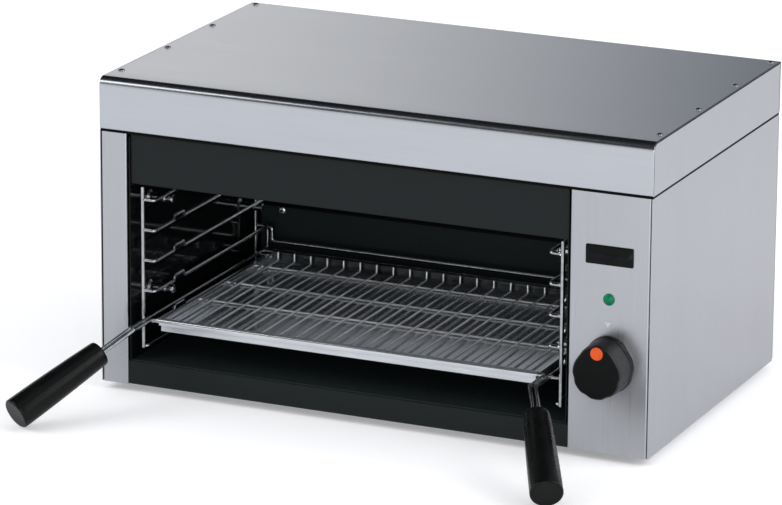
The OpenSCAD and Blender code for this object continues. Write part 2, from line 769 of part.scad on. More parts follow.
module shelf_frame() color(bright_wire) in_place() {
    reach = handle_wire + wire_in_grip;
    bent_wire(and_mirrored([
        bend_outer + handle_dir * reach, bend_outer, [side_x, hoop_y, frame_z], [side_x, hoop_y, hoop_top],
        [side_x + wire_pitch, hoop_y, hoop_top], [side_x + wire_pitch, hoop_y, rear_bar_z]
    ]), frame_bend, wire_d);
    bent_wire(and_mirrored([
        bend_inner + handle_dir * reach, bend_inner, [side_x + wire_pitch, front_bar_y, frame_z]
    ]), frame_bend, wire_d);
    straight([side_x, lower_bar_y, frame_z], [2 * oven_mid - side_x, lower_bar_y, frame_z], wire_d - 0.2);
    for (k = tacks, right = [false, true]) {
        y = front_bar_y - 4 - k * (handle_out - 8);
        start = [side_x, y, frame_z];
        end = [side_x + wire_pitch, y, frame_z];
        straight(right ? across_oven(end) : start, right ? across_oven(start) : end, tack_d);
    }
}

// ---- Grips ----

// A grip along Z: a slightly flared handle with a turned neck and a rounded cap
module grip_shape() {
    neck = grip_neck_d / 2;
    end = grip_end_d / 2;
    rotate_extrude() polygon([
        [0, 0], [neck - 1, 0], [neck, 1], [neck + (end - neck) * 0.45, grip_l * 0.3],
        [neck + (end - neck) * 0.75, grip_l * 0.6], [end, grip_l - 3], [end - 0.4, grip_l - 1.2],
        [end - 1.6, grip_l], [0, grip_l]
    ]);
}

module grip() {
    hole = wire_d + 2 * grip_hole_gap;
    difference() {
        translate(grip_start) aim(handle_dir) grip_shape();
        for (bend_point = [bend_outer, bend_inner])
            straight(bend_point + handle_dir * (handle_wire - 12),
                bend_point + handle_dir * (handle_wire + wire_in_grip + 1), hole);
    }
}
module grip_left() color(black_plastic) in_place() grip();
module grip_right() color(black_plastic) in_place() other_rack() grip();

// ---- Drip tray ----

tray_fold = 1;
tray_ear = 3.5;
tray_rim_z = frame_z + 0.8;

module drip_tray() color(steel_light) in_place() {
    top = frame_z + hook_r;
    skirt = frame_z - hook_skirt;
    floor_mid = tray_floor - tray_t / 2;
    hook = 2 * hook_r + hook_flat;
    across(tray_x0, tray_x1) folded([
        [tray_front - hook, skirt], [tray_front - hook, top], [tray_front, top], [tray_front, floor_mid],
        [tray_rear, floor_mid], [tray_rear, top], [tray_rear + hook, top], [tray_rear + hook, skirt]
    ], [hook_r, hook_r, tray_fold, tray_fold, hook_r, hook_r], tray_t);
    // over the bars the sheet is wider than the tray, and its ears reach halfway down the hooks
    for (x = [[tray_x0 - tray_ear, tray_x0 + 1], [tray_x1 - 1, tray_x1 + tray_ear]])
        across(x[0], x[1]) for (y = [tray_front - hook, tray_rear]) folded([
            [y, frame_z - 1], [y, top], [y + hook, top], [y + hook, frame_z - 1]
        ], hook_r, tray_t);
    for (side = [0, 1]) {
        x = side ? tray_x1 - tray_t : tray_x0;
        across(x, x + tray_t) tray_end();
        rim_x = side ? tray_x1 - tray_t : tray_x0 - tray_rim;
        block([rim_x, tray_front, tray_rim_z - tray_t], [rim_x + tray_rim + tray_t, tray_rear, tray_rim_z]);
    }
}

// A side wall of the tray, with the rounding of its lower corners
module tray_end() {
    y0 = tray_front - tray_t / 2;
    y1 = tray_rear + tray_t / 2;
    low = tray_floor - tray_t;
    r = tray_fold + tray_t / 2;
    translate([y0, low + r]) square([y1 - y0, tray_rim_z - low - r]);
    translate([y0 + r, low]) square([y1 - y0 - 2 * r, r]);
    for (y = [y0 + r, y1 - r]) translate([y, low + r]) circle(r);
}

// ---- Toasting grid ----

module grid_rod(x) bent_wire([[x, rod_front, rod_z], [x, rod_rear, rod_z], [x, rod_rear, rod_z + grid_turn_up]], 3, grid_d);

cross_first = 0.41;     // places of the first and last cross wire along the rods
cross_last = 0.92;

module toasting_grid() color(bright_wire) in_place() {
    for (i = [0:grid_rods + 1]) grid_rod(rod_left + i * rod_pitch);
    span = rod_rear - rod_front;
    for (i = [0:grid_cross - 1]) {
        y = rod_front + span * (cross_first + (cross_last - cross_first) * i / (grid_cross - 1));
        straight([rod_left - 2, y, cross_z], [2 * oven_mid - rod_left + 2, y, cross_z], grid_d);
    }
}

// ---- Control knob ----

knob_round = 2.5;
scallop_r = 16;
scallop_angles = [193, 244, 296, 347];
shaft_fit = 0.05;
bush_d = 10;
bush_out = 3;
flat_cut = 1;           // depth of the flat along the shaft's outer end
regulator_screw_d = 3.5;

module on_control_axis() in_place() translate([control_x, 0, knob_z]) rotate([90, 0, 0]) children();
module at_regulator_screws() for (side = [-1, 1]) translate([side * regulator_screw_x, 0, 0]) children();

// A disc of the knob's depth, rounded off towards its face, which is at the top
module knob_disc(r) rotate_extrude() {
    square([r - knob_round, knob_depth]);
    square([r, knob_depth - knob_round]);
    translate([r - knob_round, knob_depth - knob_round]) circle(knob_round);
}

// Round below, drawn out to a blunt nose above, with scallops for the fingers round the lower half
module knob_form() difference() {
    for (k = [0, 0.5, 1]) translate([0, k * knob_nose, 0])
        knob_disc(knob_d / 2 + k * (knob_nose_r - knob_d / 2));
    for (angle = scallop_angles) rotate(angle) translate([knob_d / 2 + scallop_r - scallop, 0, -1])
        cylinder(h = knob_depth + 2, r = scallop_r);
}

module control_knob() color(black_plastic) on_control_axis() translate([0, 0, knob_gap]) difference() {
    knob_form();
    translate([0, 0, -1]) cylinder(h = knob_recess + 1, r = knob_recess_r);
    shaft_hole = knob_depth - 6;
    difference() {
        cylinder(h = shaft_hole, d = shaft_d + 2 * shaft_fit);
        translate([-shaft_d, shaft_d / 2 - flat_cut + shaft_fit, 0]) cube([2 * shaft_d, shaft_d, shaft_hole]);
    }
    translate([0, dot_r, knob_depth - 1]) cylinder(h = 2, d = dot_d);
}

module knob_dot() color(orange) on_control_axis() translate([0, dot_r, knob_gap + knob_depth - 1])
    cylinder(h = 1.2, d = dot_d);

module regulator_shaft() color(screw_steel) on_control_axis() difference() {
    inner = 14;
    outer = knob_gap + knob_depth - 6.5;
    translate([0, 0, -inner]) cylinder(h = inner + outer, d = shaft_d);
    translate([-shaft_d, shaft_d / 2 - flat_cut, bush_out + 1]) cube([2 * shaft_d, shaft_d, outer]);
}

// The regulator behind the panel, its threaded bush through it
module energy_regulator() color(black_plastic) on_control_axis() {
    bore = shaft_d + 2 * shaft_fit;
    difference() {
        union() {
            cylinder(h = bush_out, d = bush_d);
            translate([0, 0, -sheet]) cylinder(h = sheet + 1, d = bush_d);
            translate([0, 0, -sheet - regulator_depth]) linear_extrude(regulator_depth) rounded(regulator_w, regulator_w, 4);
        }
        translate([0, 0, -16]) cylinder(h = 30, d = bore);
        at_regulator_screws() translate([0, 0, -sheet - 6]) cylinder(h = 8, d = regulator_screw_d);
    }
    // tabs for the leads
    for (x = [-12, 0, 12], y = [-10, 10]) translate([x, y, -sheet - regulator_depth - 7])
        translate([-3, -0.4, 0]) cube([6, 0.8, 8]);
}

module regulator_screws() color(screw_steel) on_control_axis() at_regulator_screws() screw(7, regulator_screw_d, 6);

// ---- Neon, plate ----

module at_neon() in_place() translate([control_x, 0, neon_z]) rotate([90, 0, 0]) children();

module neon_lens() color(green) at_neon() rotate_extrude() {
    square([neon_d / 2, 1]);
    intersection() {
        translate([0, 3 - neon_d * 0.8]) circle(neon_d * 0.8, $fn = 48);
        square([neon_d / 2, 4]);
    }
}

module neon_body() color(black_plastic) at_neon() {
    translate([0, 0, -22]) cylinder(h = 22, d = neon_d - 4);
    translate([0, 0, -sheet - 3]) cylinder(h = 3, d = neon_d);
    for (x = [-2, 2]) translate([x - 0.4, -2, -30]) cube([0.8, 4, 9]);
}

module front_plate() color(black_plastic) in_place()
    front_to_back(-1.2, 0) translate([control_x, plate_z]) rounded(plate_w, plate_h, 1.5);

// ---- Supply: gland, terminals and inner leads ----

gland_thread_d = 16;
lead_d = 2.6;
terminal_w = 46;
terminal_depth = 22;
terminal_h = 20;

module at_gland() in_place() translate([control_x, body_d, gland_z]) rotate([-90, 0, 0]) children();

module cable_gland() color(black_plastic) at_gland() difference() {
    union() {
        cylinder(h = 5, d = gland_hex, $fn = 6);
        cylinder(h = gland_out, d = gland_hex - 5);
        translate([0, 0, -14]) cylinder(h = 15, d = gland_thread_d);
    }
    translate([0, 0, -15]) cylinder(h = 40, r = gland_r);
}

module gland_nut() color(black_plastic) at_gland() translate([0, 0, -sheet - 5]) difference() {
    cylinder(h = 5, d = gland_hex, $fn = 6);
    translate([0, 0, -1]) cylinder(h = 7, d = gland_thread_d + 0.1);
}

module terminal_block() color(ceramic) in_place() translate([control_x, terminal_y, liner_z]) difference() {
    translate([-terminal_w / 2, -terminal_depth / 2, 0]) cube([terminal_w, terminal_depth, terminal_h]);
    for (i = [-1:1]) translate([i * 14, 0, 0]) {
        translate([0, 0, terminal_h - 8]) cylinder(h = 10, d = 6);
        translate([0, -terminal_depth, terminal_h / 2 - 2]) rotate([-90, 0, 0])
            cylinder(h = 2 * terminal_depth, d = lead_d + 0.6);
    }
}

// From the terminals up to the regulator and the neon
module supply_leads() color(wire_coat) in_place() for (i = [-1:1]) {
    x = control_x + 14 * i;
    z = liner_z + terminal_h / 2 - 2;
    back = terminal_y - terminal_depth / 2;
    rise = sheet + regulator_depth + 20 + 6 * (i + 1);
    top = knob_z + 26 + 8 * i;
    bent_wire([[x, back + 6, z], [x, rise, z], [x, rise, top]], 6, lead_d);
}

// From the regulator's side up to the elements' ends
module element_leads() color(wire_coat) in_place() for (i = [0:2], side = [-1, 1]) {
    y = element_y(i) + side * element_span / 2;
    x = element_end + pin_l;
    bent_wire([[x, y, element_z], [x + 10, y, element_z], [x + 10, y, element_z - 40]], 4, lead_d);
}

base_tray();
foot_front_left();
foot_front_right();
foot_rear_left();
foot_rear_right();
foot_screws();
left_side_panel();
right_side_panel();
left_post();
control_panel();
back_panel();
back_screws();
top_cover();
hood_end_left();
hood_end_right();
cover_screws();
hood_seal();
upper_fascia();
lower_fascia();
fascia_screws();
liner_left();
liner_right();
liner_back();
liner_floor();
rear_brackets();
liner_screws();
heat_reflector();
insulation();
element_front();
element_middle();
element_rear();
element_hanger_left();
element_hanger_right();
rack_left();
rack_right();
rack_studs_left();
rack_studs_right();
shelf_frame();
grip_left();
grip_right();
drip_tray();
toasting_grid();
control_knob();
knob_dot();
regulator_shaft();
energy_regulator();
regulator_screws();
neon_lens();
neon_body();
front_plate();
terminal_block();
cable_gland();
gland_nut();
supply_leads();
element_leads();
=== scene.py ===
# %% [markdown]
# # A countertop cheese melter
# The real piece is a small open-fronted electric grill for a kitchen counter: a folded steel casing with a
# black enamelled oven, a wire shelf with two handles, a drip tray and one control. Its sheet metal, wires and
# joints come from a CAD model, which is loaded first and never moved. This lesson gives every surface its
# finish, and makes again the pieces whose small forms a CAD model leaves out.

# %% Load the CAD model as a fixed frame
import json
import math

import bmesh
import bpy
from mathutils import Matrix, Vector

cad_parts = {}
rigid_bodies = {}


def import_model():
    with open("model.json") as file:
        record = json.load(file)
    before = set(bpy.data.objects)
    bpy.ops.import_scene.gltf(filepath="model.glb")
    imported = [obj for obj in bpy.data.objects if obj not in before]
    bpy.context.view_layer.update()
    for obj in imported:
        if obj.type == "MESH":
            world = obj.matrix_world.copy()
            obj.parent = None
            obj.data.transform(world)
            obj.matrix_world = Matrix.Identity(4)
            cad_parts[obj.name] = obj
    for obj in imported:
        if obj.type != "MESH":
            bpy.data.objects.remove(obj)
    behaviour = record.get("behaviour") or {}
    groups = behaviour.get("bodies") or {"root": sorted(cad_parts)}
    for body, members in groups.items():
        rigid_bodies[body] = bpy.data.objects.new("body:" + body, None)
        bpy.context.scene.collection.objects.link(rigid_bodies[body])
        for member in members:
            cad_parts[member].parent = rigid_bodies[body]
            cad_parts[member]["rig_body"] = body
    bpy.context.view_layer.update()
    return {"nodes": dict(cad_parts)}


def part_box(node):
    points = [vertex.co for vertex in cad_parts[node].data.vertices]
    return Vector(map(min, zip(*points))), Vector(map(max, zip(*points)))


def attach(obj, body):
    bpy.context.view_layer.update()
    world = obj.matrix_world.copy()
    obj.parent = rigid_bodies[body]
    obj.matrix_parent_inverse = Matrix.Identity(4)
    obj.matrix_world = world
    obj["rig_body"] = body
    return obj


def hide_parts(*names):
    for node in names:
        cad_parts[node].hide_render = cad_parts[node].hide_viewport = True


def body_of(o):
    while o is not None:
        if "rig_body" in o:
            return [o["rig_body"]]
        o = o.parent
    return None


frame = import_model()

MM = 0.001

# %% [markdown]
# ## The camera
# A long lens from far away keeps the upright edges of the casing nearly parallel. The camera is placed by
# where it stands and by three angles, because angles are easier to judge and to correct than a target point.

# %% Camera
AZIMUTH, ELEVATION, ROLL = 23.997, 16.374, 0.372
LENS, STAND = 232.62, (1992.5, -4488.4, 1597.0)
camera_data = bpy.data.cameras.new("camera")
camera_data.sensor_width = 36
camera_data.lens = LENS
camera_data.clip_end = 100
camera = bpy.data.objects.new("camera", camera_data)
bpy.context.scene.collection.objects.link(camera)
camera.matrix_world = (
    Matrix.Translation(Vector(STAND) * MM)
    @ Matrix.Rotation(math.radians(AZIMUTH), 4, "Z")
    @ Matrix.Rotation(math.radians(90 - ELEVATION), 4, "X")
    @ Matrix.Rotation(math.radians(ROLL), 4, "Z")
)
bpy.context.scene.camera = camera
bpy.context.scene.view_settings.view_transform = "Standard"
print("camera at", [round(v, 3) for v in camera.matrix_world.translation])

# %% [markdown]
# ## Small helpers
# A colour is written as the sRGB hex value that a colour picker shows, and turned to the linear numbers that
# Blender computes with. One function adds a node, sets it and links it, so that a tree reads as a list: an
# input is either a value, or the node that it comes from.

# %% Colour and node helpers
def linear(hex_colour):
    """The linear RGBA of an sRGB hex value such as "#a9aeb6"."""
    parts = [int(hex_colour[i:i + 2], 16) / 255 for i in (1, 3, 5)]
    return tuple(v / 12.92 if v <= 0.04045 else ((v + 0.055) / 1.055) ** 2.4 for v in parts) + (1,)


def add(tree, kind, inputs=None, stops=(), **settings):
    """A new node. An input takes a value, or is linked from an output, from a node's first output in use, or
    from each in a list. A ramp takes stops of (place, colour)."""
    made = tree.nodes.new(kind)
    for name, value in settings.items():
        setattr(made, name, value)
    for name, value in (inputs or {}).items():
        for source in reversed(value) if isinstance(value, list) else [value]:
            if isinstance(source, bpy.types.Node):
                source = next(o for o in source.outputs if o.enabled)
            if isinstance(source, bpy.types.NodeSocket):
                tree.links.new(source, made.inputs[name])
            else:
                made.inputs[name].default_value = source
    for (place, colour), stop in zip(stops, made.color_ramp.elements if stops else ()):
        stop.position = place
        stop.color = linear(colour)
    return made


print("white is", [round(v, 2) for v in linear("#ffffff")])

# %% [markdown]
# ## A pattern and a surface
# Every finish here varies a little, as real ones do: a noise whose grains have a real size in millimetres
# moves its colour between two tones, its roughness between two values and its relief by hundredths of a
# millimetre. Most values of a noise lie between 0.3 and 0.7, so that span is stretched over the whole change.

# %% Pattern and surface
NOISE_LOW, NOISE_HIGH = 0.3, 0.7


def new_material(name):
    """An empty material and its node tree."""
    made = bpy.data.materials.new(name)
    made.use_nodes = True
    made.node_tree.nodes.clear()
    return made, made.node_tree


def noise(tree, size_mm, detail=3, rough=0.5):
    """Noise on Object coordinates, whose grains measure about size_mm along X, Y and Z."""
    place = add(tree, "ShaderNodeTexCoord").outputs["Object"]
    scale = tuple(1 / (v * MM) for v in size_mm)
    space = add(tree, "ShaderNodeMapping", {"Vector": place, "Scale": scale})
    return add(tree, "ShaderNodeTexNoise", {
        "Vector": space, "Scale": 1, "Detail": detail, "Roughness": rough})


def surface(tree, tones, roughness, relief, facts, span=(NOISE_LOW, NOISE_HIGH)):
    """A solid's shader: tones are (pattern, dark, light), roughness is (pattern, least, most) and relief is
    (pattern, depth in millimetres, strength). The colour changes over a span of its pattern's values."""
    colour = add(tree, "ShaderNodeValToRGB", {"Fac": tones[0]}, stops=tuple(zip(span, tones[1:])))
    dull = add(tree, "ShaderNodeMapRange", {
        "Value": roughness[0], "From Min": NOISE_LOW, "From Max": NOISE_HIGH,
        "To Min": roughness[1], "To Max": roughness[2]})
    bump = add(tree, "ShaderNodeBump", {
        "Height": relief[0], "Distance": relief[1] * MM, "Strength": relief[2]})
    shader = add(tree, "ShaderNodeBsdfPrincipled", {
        "Base Color": colour, "Roughness": dull, "Normal": bump, **facts})
    add(tree, "ShaderNodeOutputMaterial", {"Surface": shader})


print("patterns and surfaces ready")

# %% [markdown]
# ## Where things are
# Sizes are easiest to check in millimetres from the casing's lower front left corner, as a fitter would
# measure them. One function turns such a place into the scene's metres. The corner itself comes from the CAD
# model.

# %% Places
CORNER = Vector(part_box("left_side_panel")[0])
CASE_W, CASE_D, CASE_H = 600, 358, 321


def at(x, y, z):
    """A place in millimetres right, back and up from the casing's lower front left corner."""
    return CORNER + Vector((x, y, z)) * MM


print("casing corner:", [round(v, 4) for v in CORNER])

# %% [markdown]
# ## Plain meshes
# A piece is a plain mesh on an object at the origin. Many of this object's small pieces are either turned on
# an axis or drawn along a path, so both are made from rings of points, with one skin stretched over them.

# %% Pieces
def shaded(mesh, material, crisp=35):
    """Smooth faces with crisp edges where they turn by more than an angle in degrees, in one material."""
    mesh.shade_smooth()
    mesh.set_sharp_from_angle(angle=math.radians(crisp))
    mesh.materials.clear()
    mesh.materials.append(material)
    return mesh


def piece(name, mesh, body, *nodes):
    """An object at the origin that rides on a body and stands for the CAD nodes that are named."""
    made = bpy.data.objects.new(name, mesh)
    bpy.context.scene.collection.objects.link(made)
    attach(made, body)
    if nodes:
        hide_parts(*nodes)
    print(name + ":", len(mesh.polygons), "faces on", body)
    return made


# %% Skins and turned shapes
def skin(name, rings, loop=False):
    """A closed mesh stretched over rings of points. Its ends are filled, or joined as a loop."""
    count, last = len(rings[0]), len(rings) - 1
    faces = []
    for i in range(len(rings) if loop else last):
        low, high = i * count, (i + 1) % len(rings) * count
        faces += [(low + k, low + (k + 1) % count, high + (k + 1) % count, high + k) for k in range(count)]
    if not loop:
        faces += [tuple(range(count)), tuple(range(last * count, (last + 1) * count))]
    mesh = bpy.data.meshes.new(name)
    mesh.from_pydata([p for ring in rings for p in ring], [], faces)
    work = bmesh.new()
    work.from_mesh(mesh)
    bmesh.ops.remove_doubles(work, verts=work.verts, dist=0.002 * MM)
    bmesh.ops.recalc_face_normals(work, faces=work.faces)
    work.to_mesh(mesh)
    work.free()
    return mesh


def turned(name, foot, axis, profile, count=64, ridge=None, loop=False):
    """A turned shape on an axis: its profile lists (distance along the axis, radius) in millimetres."""
    axis = Vector(axis).normalized()
    side = axis.orthogonal().normalized()
    other = axis.cross(side)
    rings = []
    for along, radius in profile:
        ring = []
        for k in range(count):
            angle = math.tau * k / count
            r = radius + (ridge(k, radius) if ridge else 0)
            ring.append(foot + (axis * along + (side * math.cos(angle) + other * math.sin(angle)) * r) * MM)
        rings.append(ring)
    return skin(name, rings, loop)


print("skins merge points closer than 0.002 mm")

# %% [markdown]
# ## The studio
# The piece stands on a pale sweep in soft light. The world is white to the eye and in reflections near the
# horizon, and darker overhead, as a room is above its lamps; that dark ceiling is what draws a dark line
# along a rounded steel edge. A skylight opens it on the right, and a grey curtain hangs far behind, so that
# the flat top shades off from front left to rear right. Each of the three is a ramp along a direction of its
# own.

# %% Rays that see the background
def seen_directly(tree):
    """1 for rays that show the background: to the eye, in gloss and through glass."""
    rays = add(tree, "ShaderNodeLightPath").outputs
    either = add(tree, "ShaderNodeMath", {
        0: rays["Is Camera Ray"], 1: rays["Is Glossy Ray"]}, operation="MAXIMUM")
    return add(tree, "ShaderNodeMath", {0: either, 1: rays["Is Transmission Ray"]}, operation="MAXIMUM")


print("the background shows to camera, glossy and transmission rays")

# %% Sky ramps
SKY = {"ceiling": ((0, -0.1, 1), (0.26, "#ffffff"), (0.36, "#0b0d0f")),
       "skylight": ((1, 0, 0), (0.0, "#000000"), (0.12, "#b4b7bc")),
       "curtain": ((-0.05, 0.97, 0.24), (0.927, "#ffffff"), (0.966, "#646d7a"))}

world = bpy.data.worlds.new("studio")
bpy.context.scene.world = world
world.use_nodes = True
air = world.node_tree
air.nodes.clear()
way = add(air, "ShaderNodeTexCoord").outputs["Generated"]
shade = {}
for name, (axis, *stops) in SKY.items():
    along = add(air, "ShaderNodeVectorMath", {0: way, 1: axis}, operation="DOT_PRODUCT")
    shade[name] = add(air, "ShaderNodeValToRGB", {"Fac": along}, stops=stops)
print("sky ramps:", ", ".join(shade))

# %% World
SOFT_LIGHT = 0.75
overhead = add(air, "ShaderNodeMix", {
    0: 1.0, 6: shade["ceiling"], 7: shade["skylight"]}, data_type="RGBA", blend_type="LIGHTEN")
dimmed = add(air, "ShaderNodeMix", {
    0: 1.0, 6: overhead, 7: shade["curtain"]}, data_type="RGBA", blend_type="MULTIPLY")
white = add(air, "ShaderNodeBackground", {"Color": linear("#ffffff"), "Strength": 1})
room = add(air, "ShaderNodeBackground", {"Color": dimmed, "Strength": 1})
soft = add(air, "ShaderNodeBackground", {"Color": linear("#fafbff"), "Strength": SOFT_LIGHT})
light_or_room = add(air, "ShaderNodeMixShader", {0: seen_directly(air), 1: soft, 2: room})
to_the_eye = add(air, "ShaderNodeLightPath").outputs["Is Camera Ray"]
all_rays = add(air, "ShaderNodeMixShader", {0: to_the_eye, 1: light_or_room, 2: white})
add(air, "ShaderNodeOutputWorld", {"Surface": all_rays})
print("world nodes:", len(air.nodes))

# %% [markdown]
# The floor is a sheet of pale studio paper. It is a real surface, so it keeps the shadow, and it gets a
# little light of its own, for the eye and in gloss, so that it meets the white of the world.

# %% Floor
FLOOR, LIFT = 15, 0.12
floor_paper, tree = new_material("pale_studio_paper")
fibres = add(tree, "ShaderNodeValToRGB", {"Fac": noise(tree, (3, 3, 3))},
             stops=((NOISE_LOW, "#f2f2f3"), (NOISE_HIGH, "#f6f6f7")))
paper = add(tree, "ShaderNodeBsdfPrincipled", {
    "Base Color": fibres, "Roughness": 0.9, "Specular IOR Level": 0.1})
to_the_eye = add(tree, "ShaderNodeLightPath").outputs["Is Camera Ray"]
both = add(tree, "ShaderNodeMath", {0: seen_directly(tree), 1: LIFT}, operation="MULTIPLY")
lift = add(tree, "ShaderNodeMath", {0: to_the_eye, 1: LIFT, 2: both}, operation="MULTIPLY_ADD")
glow = add(tree, "ShaderNodeEmission", {"Color": linear("#ffffff"), "Strength": lift})
lit_paper = add(tree, "ShaderNodeAddShader", {0: paper, 1: glow})
add(tree, "ShaderNodeOutputMaterial", {"Surface": lit_paper})

floor_mesh = bpy.data.meshes.new("floor")
square = [(-FLOOR, -FLOOR, 0), (FLOOR, -FLOOR, 0), (FLOOR, FLOOR, 0), (-FLOOR, FLOOR, 0)]
floor_mesh.from_pydata(square, [], [(0, 1, 2, 3)])
floor_mesh.materials.append(floor_paper)
floor = bpy.data.objects.new("floor", floor_mesh)
bpy.context.scene.collection.objects.link(floor)
print("floor", 2 * FLOOR, "m wide")

# %% [markdown]
# Three square lamps give the light its direction: a key lamp from the left, a fill lamp from the right, and a
# low one in front that lights the mouth of the oven. They are large, so every shadow has a soft edge.

# %% Lamps
def softbox(name, place, target, size, watts):
    """A square area lamp at place that looks at target."""
    data = bpy.data.lights.new(name, "AREA")
    data.energy = watts
    data.size = size
    lamp = bpy.data.objects.new(name, data)
    bpy.context.scene.collection.objects.link(lamp)
    away = Vector(target) - Vector(place)
    lamp.matrix_world = Matrix.Translation(place) @ away.to_track_quat("-Z", "Y").to_matrix().to_4x4()


softbox("key_lamp", (-2.7, -1.9, 2.2), (0, 0, 0.1), 2.2, 46)
softbox("fill_lamp", (3.0, 0.2, 1.9), (0.3, 0, 0.1), 2.2, 52)
softbox("low_front_lamp", (1.0, -2.6, 0.4), (-0.1, 0, 0.16), 1.2, 20)

# %% [markdown]
# ## Stainless steel sheet
# The casing is folded from austenitic stainless steel with a brushed finish: belts of grit leave fine grooves
# in one direction. To the eye that gives a soft sheen drawn out across the grooves, faint streaks along them,
# and no clear mirror image. The grooves are about 0.1 mm wide, too fine to show from here, so they are drawn
# 1 mm wide. On the body they run upright, on the hood they run along its length.

# %% Brushed steel
def brushed_steel(name, dark, light, grain_mm, roughness):
    """Stainless steel sheet with grooves of grain_mm along X, Y and Z."""
    made, tree = new_material(name)
    grooves = noise(tree, grain_mm, 4, 0.6)
    clouds = noise(tree, [max(v * 6, 60) for v in grain_mm], 2)
    streaks = add(tree, "ShaderNodeMath", {0: grooves, 1: 0.6, 2: 0.2}, operation="MULTIPLY_ADD")
    tone = add(tree, "ShaderNodeMath", {0: clouds, 1: 0.35, 2: streaks}, operation="MULTIPLY_ADD")
    surface(tree, (tone, dark, light), (grooves, roughness - 0.03, roughness + 0.03), (grooves, 0.006, 0.35),
            {"Metallic": 1}, span=(0.45, 0.95))
    return made


upright_steel = brushed_steel("stainless_steel_brushed_upright", "#a6a8ad", "#b0b2b6", (1, 1, 90), 0.3)
# the hood's tones are lighter than the body's: a painted highlight for the light its lengthwise grooves catch
# from above
hood_steel_painted_lighter = brushed_steel("stainless_steel_brushed_lengthwise_painted_lighter", "#adb0b6", "#b9bcc1", (90, 1, 1), 0.21)
inner_steel = brushed_steel("stainless_steel_mill_finish", "#9da1a6", "#aeb1b5", (2, 2, 60), 0.4)
print("steels:", upright_steel.name, hood_steel_painted_lighter.name, inner_steel.name)

# %% [markdown]
# ## Vitreous enamel
# The fascias and the oven are steel sheet coated with black glass, fired on at 800 degrees. Enamel flows a
# little as it melts, so its gloss is slightly wavy, like the peel of an orange, and the sheet's edges show
# through rounder than cut steel would.

# %% Enamels
def enamel(name, dark, light, roughness, specular, peel_mm):
    """Fired enamel with an orange-peel waviness of peel_mm."""
    made, tree = new_material(name)
    peel = noise(tree, (peel_mm,) * 3, 2)
    specks = noise(tree, (0.8,) * 3, 2)
    surface(tree, (specks, dark, light), (peel, roughness - 0.03, roughness + 0.04), (peel, 0.008, 0.3),
            {"Specular IOR Level": specular})
    return made


fascia_enamel = enamel("black_enamel_satin", "#121617", "#181d1e", 0.4, 0.16, 6)
oven_enamel = enamel("black_enamel_gloss", "#0a0c0d", "#0e1112", 0.07, 0.16, 9)
wall_enamel = enamel("black_enamel_matt", "#1d2324", "#252c2d", 0.5, 0.1, 4)
print("enamels:", fascia_enamel.name, oven_enamel.name, wall_enamel.name)

# %% [markdown]
# ## Wires and tray
# Racks, shelf and grid are drawn steel wire with bright nickel and chromium plating: near-white, sharp
# highlights with dark edges where the wire reflects the oven. The grid's wire has lighter tones than its
# plating, a painted highlight, and the wire of racks, studs and shelf darker ones, a painted shade. The tray
# is pressed from bright steel sheet.

# %% Plated wire and tray steel
def plated(name, dark, light, roughness, grain_mm, uneven=0.3, metal=1):
    """Bright plated metal, faintly uneven from drawing and handling."""
    made, tree = new_material(name)
    wear = noise(tree, grain_mm, 3)
    surface(tree, (wear, dark, light), (wear, roughness - 0.03, roughness + 0.06), (wear, 0.01, uneven),
            {"Metallic": metal})
    return made


# the grid's wire is painted lighter (a painted highlight), the frame's and racks' darker (a painted shade)
chrome_wire_painted_lighter = plated("drawn_wire_bright_chromium_painted_lighter", "#dcdee0", "#eff0f1", 0.14, (6, 6, 6), metal=0.72)
frame_wire_painted_darker = plated("drawn_wire_nickel_plated_painted_darker", "#979a9d", "#b3b6b9", 0.13, (6, 6, 6))
tray_steel = plated("tray_steel_bright_rolled", "#bcc0c5", "#d3d6da", 0.09, (60, 1.5, 8), 0.06, 0.86)
screw_plate = plated("screw_steel_nickel_plated", "#8d9297", "#b5b9bd", 0.25, (1.5, 1.5, 1.5))
bright_sheet = plated("reflector_aluminised_steel_painted_shade", "#d8dbde", "#e6e9ec", 0.5, (25, 3, 3))
print("plated:", chrome_wire_painted_lighter.name, frame_wire_painted_darker.name, tray_steel.name, screw_plate.name)

# %% [markdown]
# Some of the sheets get painted shade: a dark tone where shade or shadow would fall. Where it changes with
# height, the tone is mixed into the clean metal's colour between two heights.

# %% Painted shade
def shade_by_height(material, tone, shares, heights_mm):
    """Mixes a tone of painted shade into a material's colour, in two shares at two heights, and evenly
    between them.
    """
    tree = material.node_tree
    rise = add(tree, "ShaderNodeSeparateXYZ", {0: add(tree, "ShaderNodeTexCoord").outputs["Object"]})
    share = add(tree, "ShaderNodeMapRange", {
        "Value": rise.outputs["Z"], "From Min": heights_mm[0] * MM, "From Max": heights_mm[1] * MM,
        "To Min": shares[0], "To Max": shares[1]})
    shader = next(n for n in tree.nodes if n.type == "BSDF_PRINCIPLED")
    clean = shader.inputs["Base Color"].links[0].from_socket
    mixed = add(tree, "ShaderNodeMix", {0: share, 6: clean, 7: linear(tone)}, data_type="RGBA")
    tree.links.new(mixed.outputs[2], shader.inputs["Base Color"])


# The reflector's lowest centimetre is painted near black, a painted shade, so no bright line shows in the
# mouth.
shade_by_height(bright_sheet, "#141313", (1.0, 0.0), (131, 139))
# The hood sheet's cut edge along its top is painted near black: a painted shadow of the gap at the end
# plates.
painted_shadow_edge = hood_steel_painted_lighter.copy()
painted_shadow_edge.name = "stainless_steel_painted_shadow_edge"
shade_by_height(painted_shadow_edge, "#0c0d0e", (0.0, 1.0), (323.5, 326.2))
# The tray's rear wall, which stands nearest the oven's back, has a painted shade: darker tones and a rougher
# surface.
painted_shade_tray_steel = plated("tray_steel_painted_shade", "#333637", "#4a4e50", 0.3, (30, 4, 4), 0.06)
print("stained:", bright_sheet.name, painted_shadow_edge.name, painted_shade_tray_steel.name)

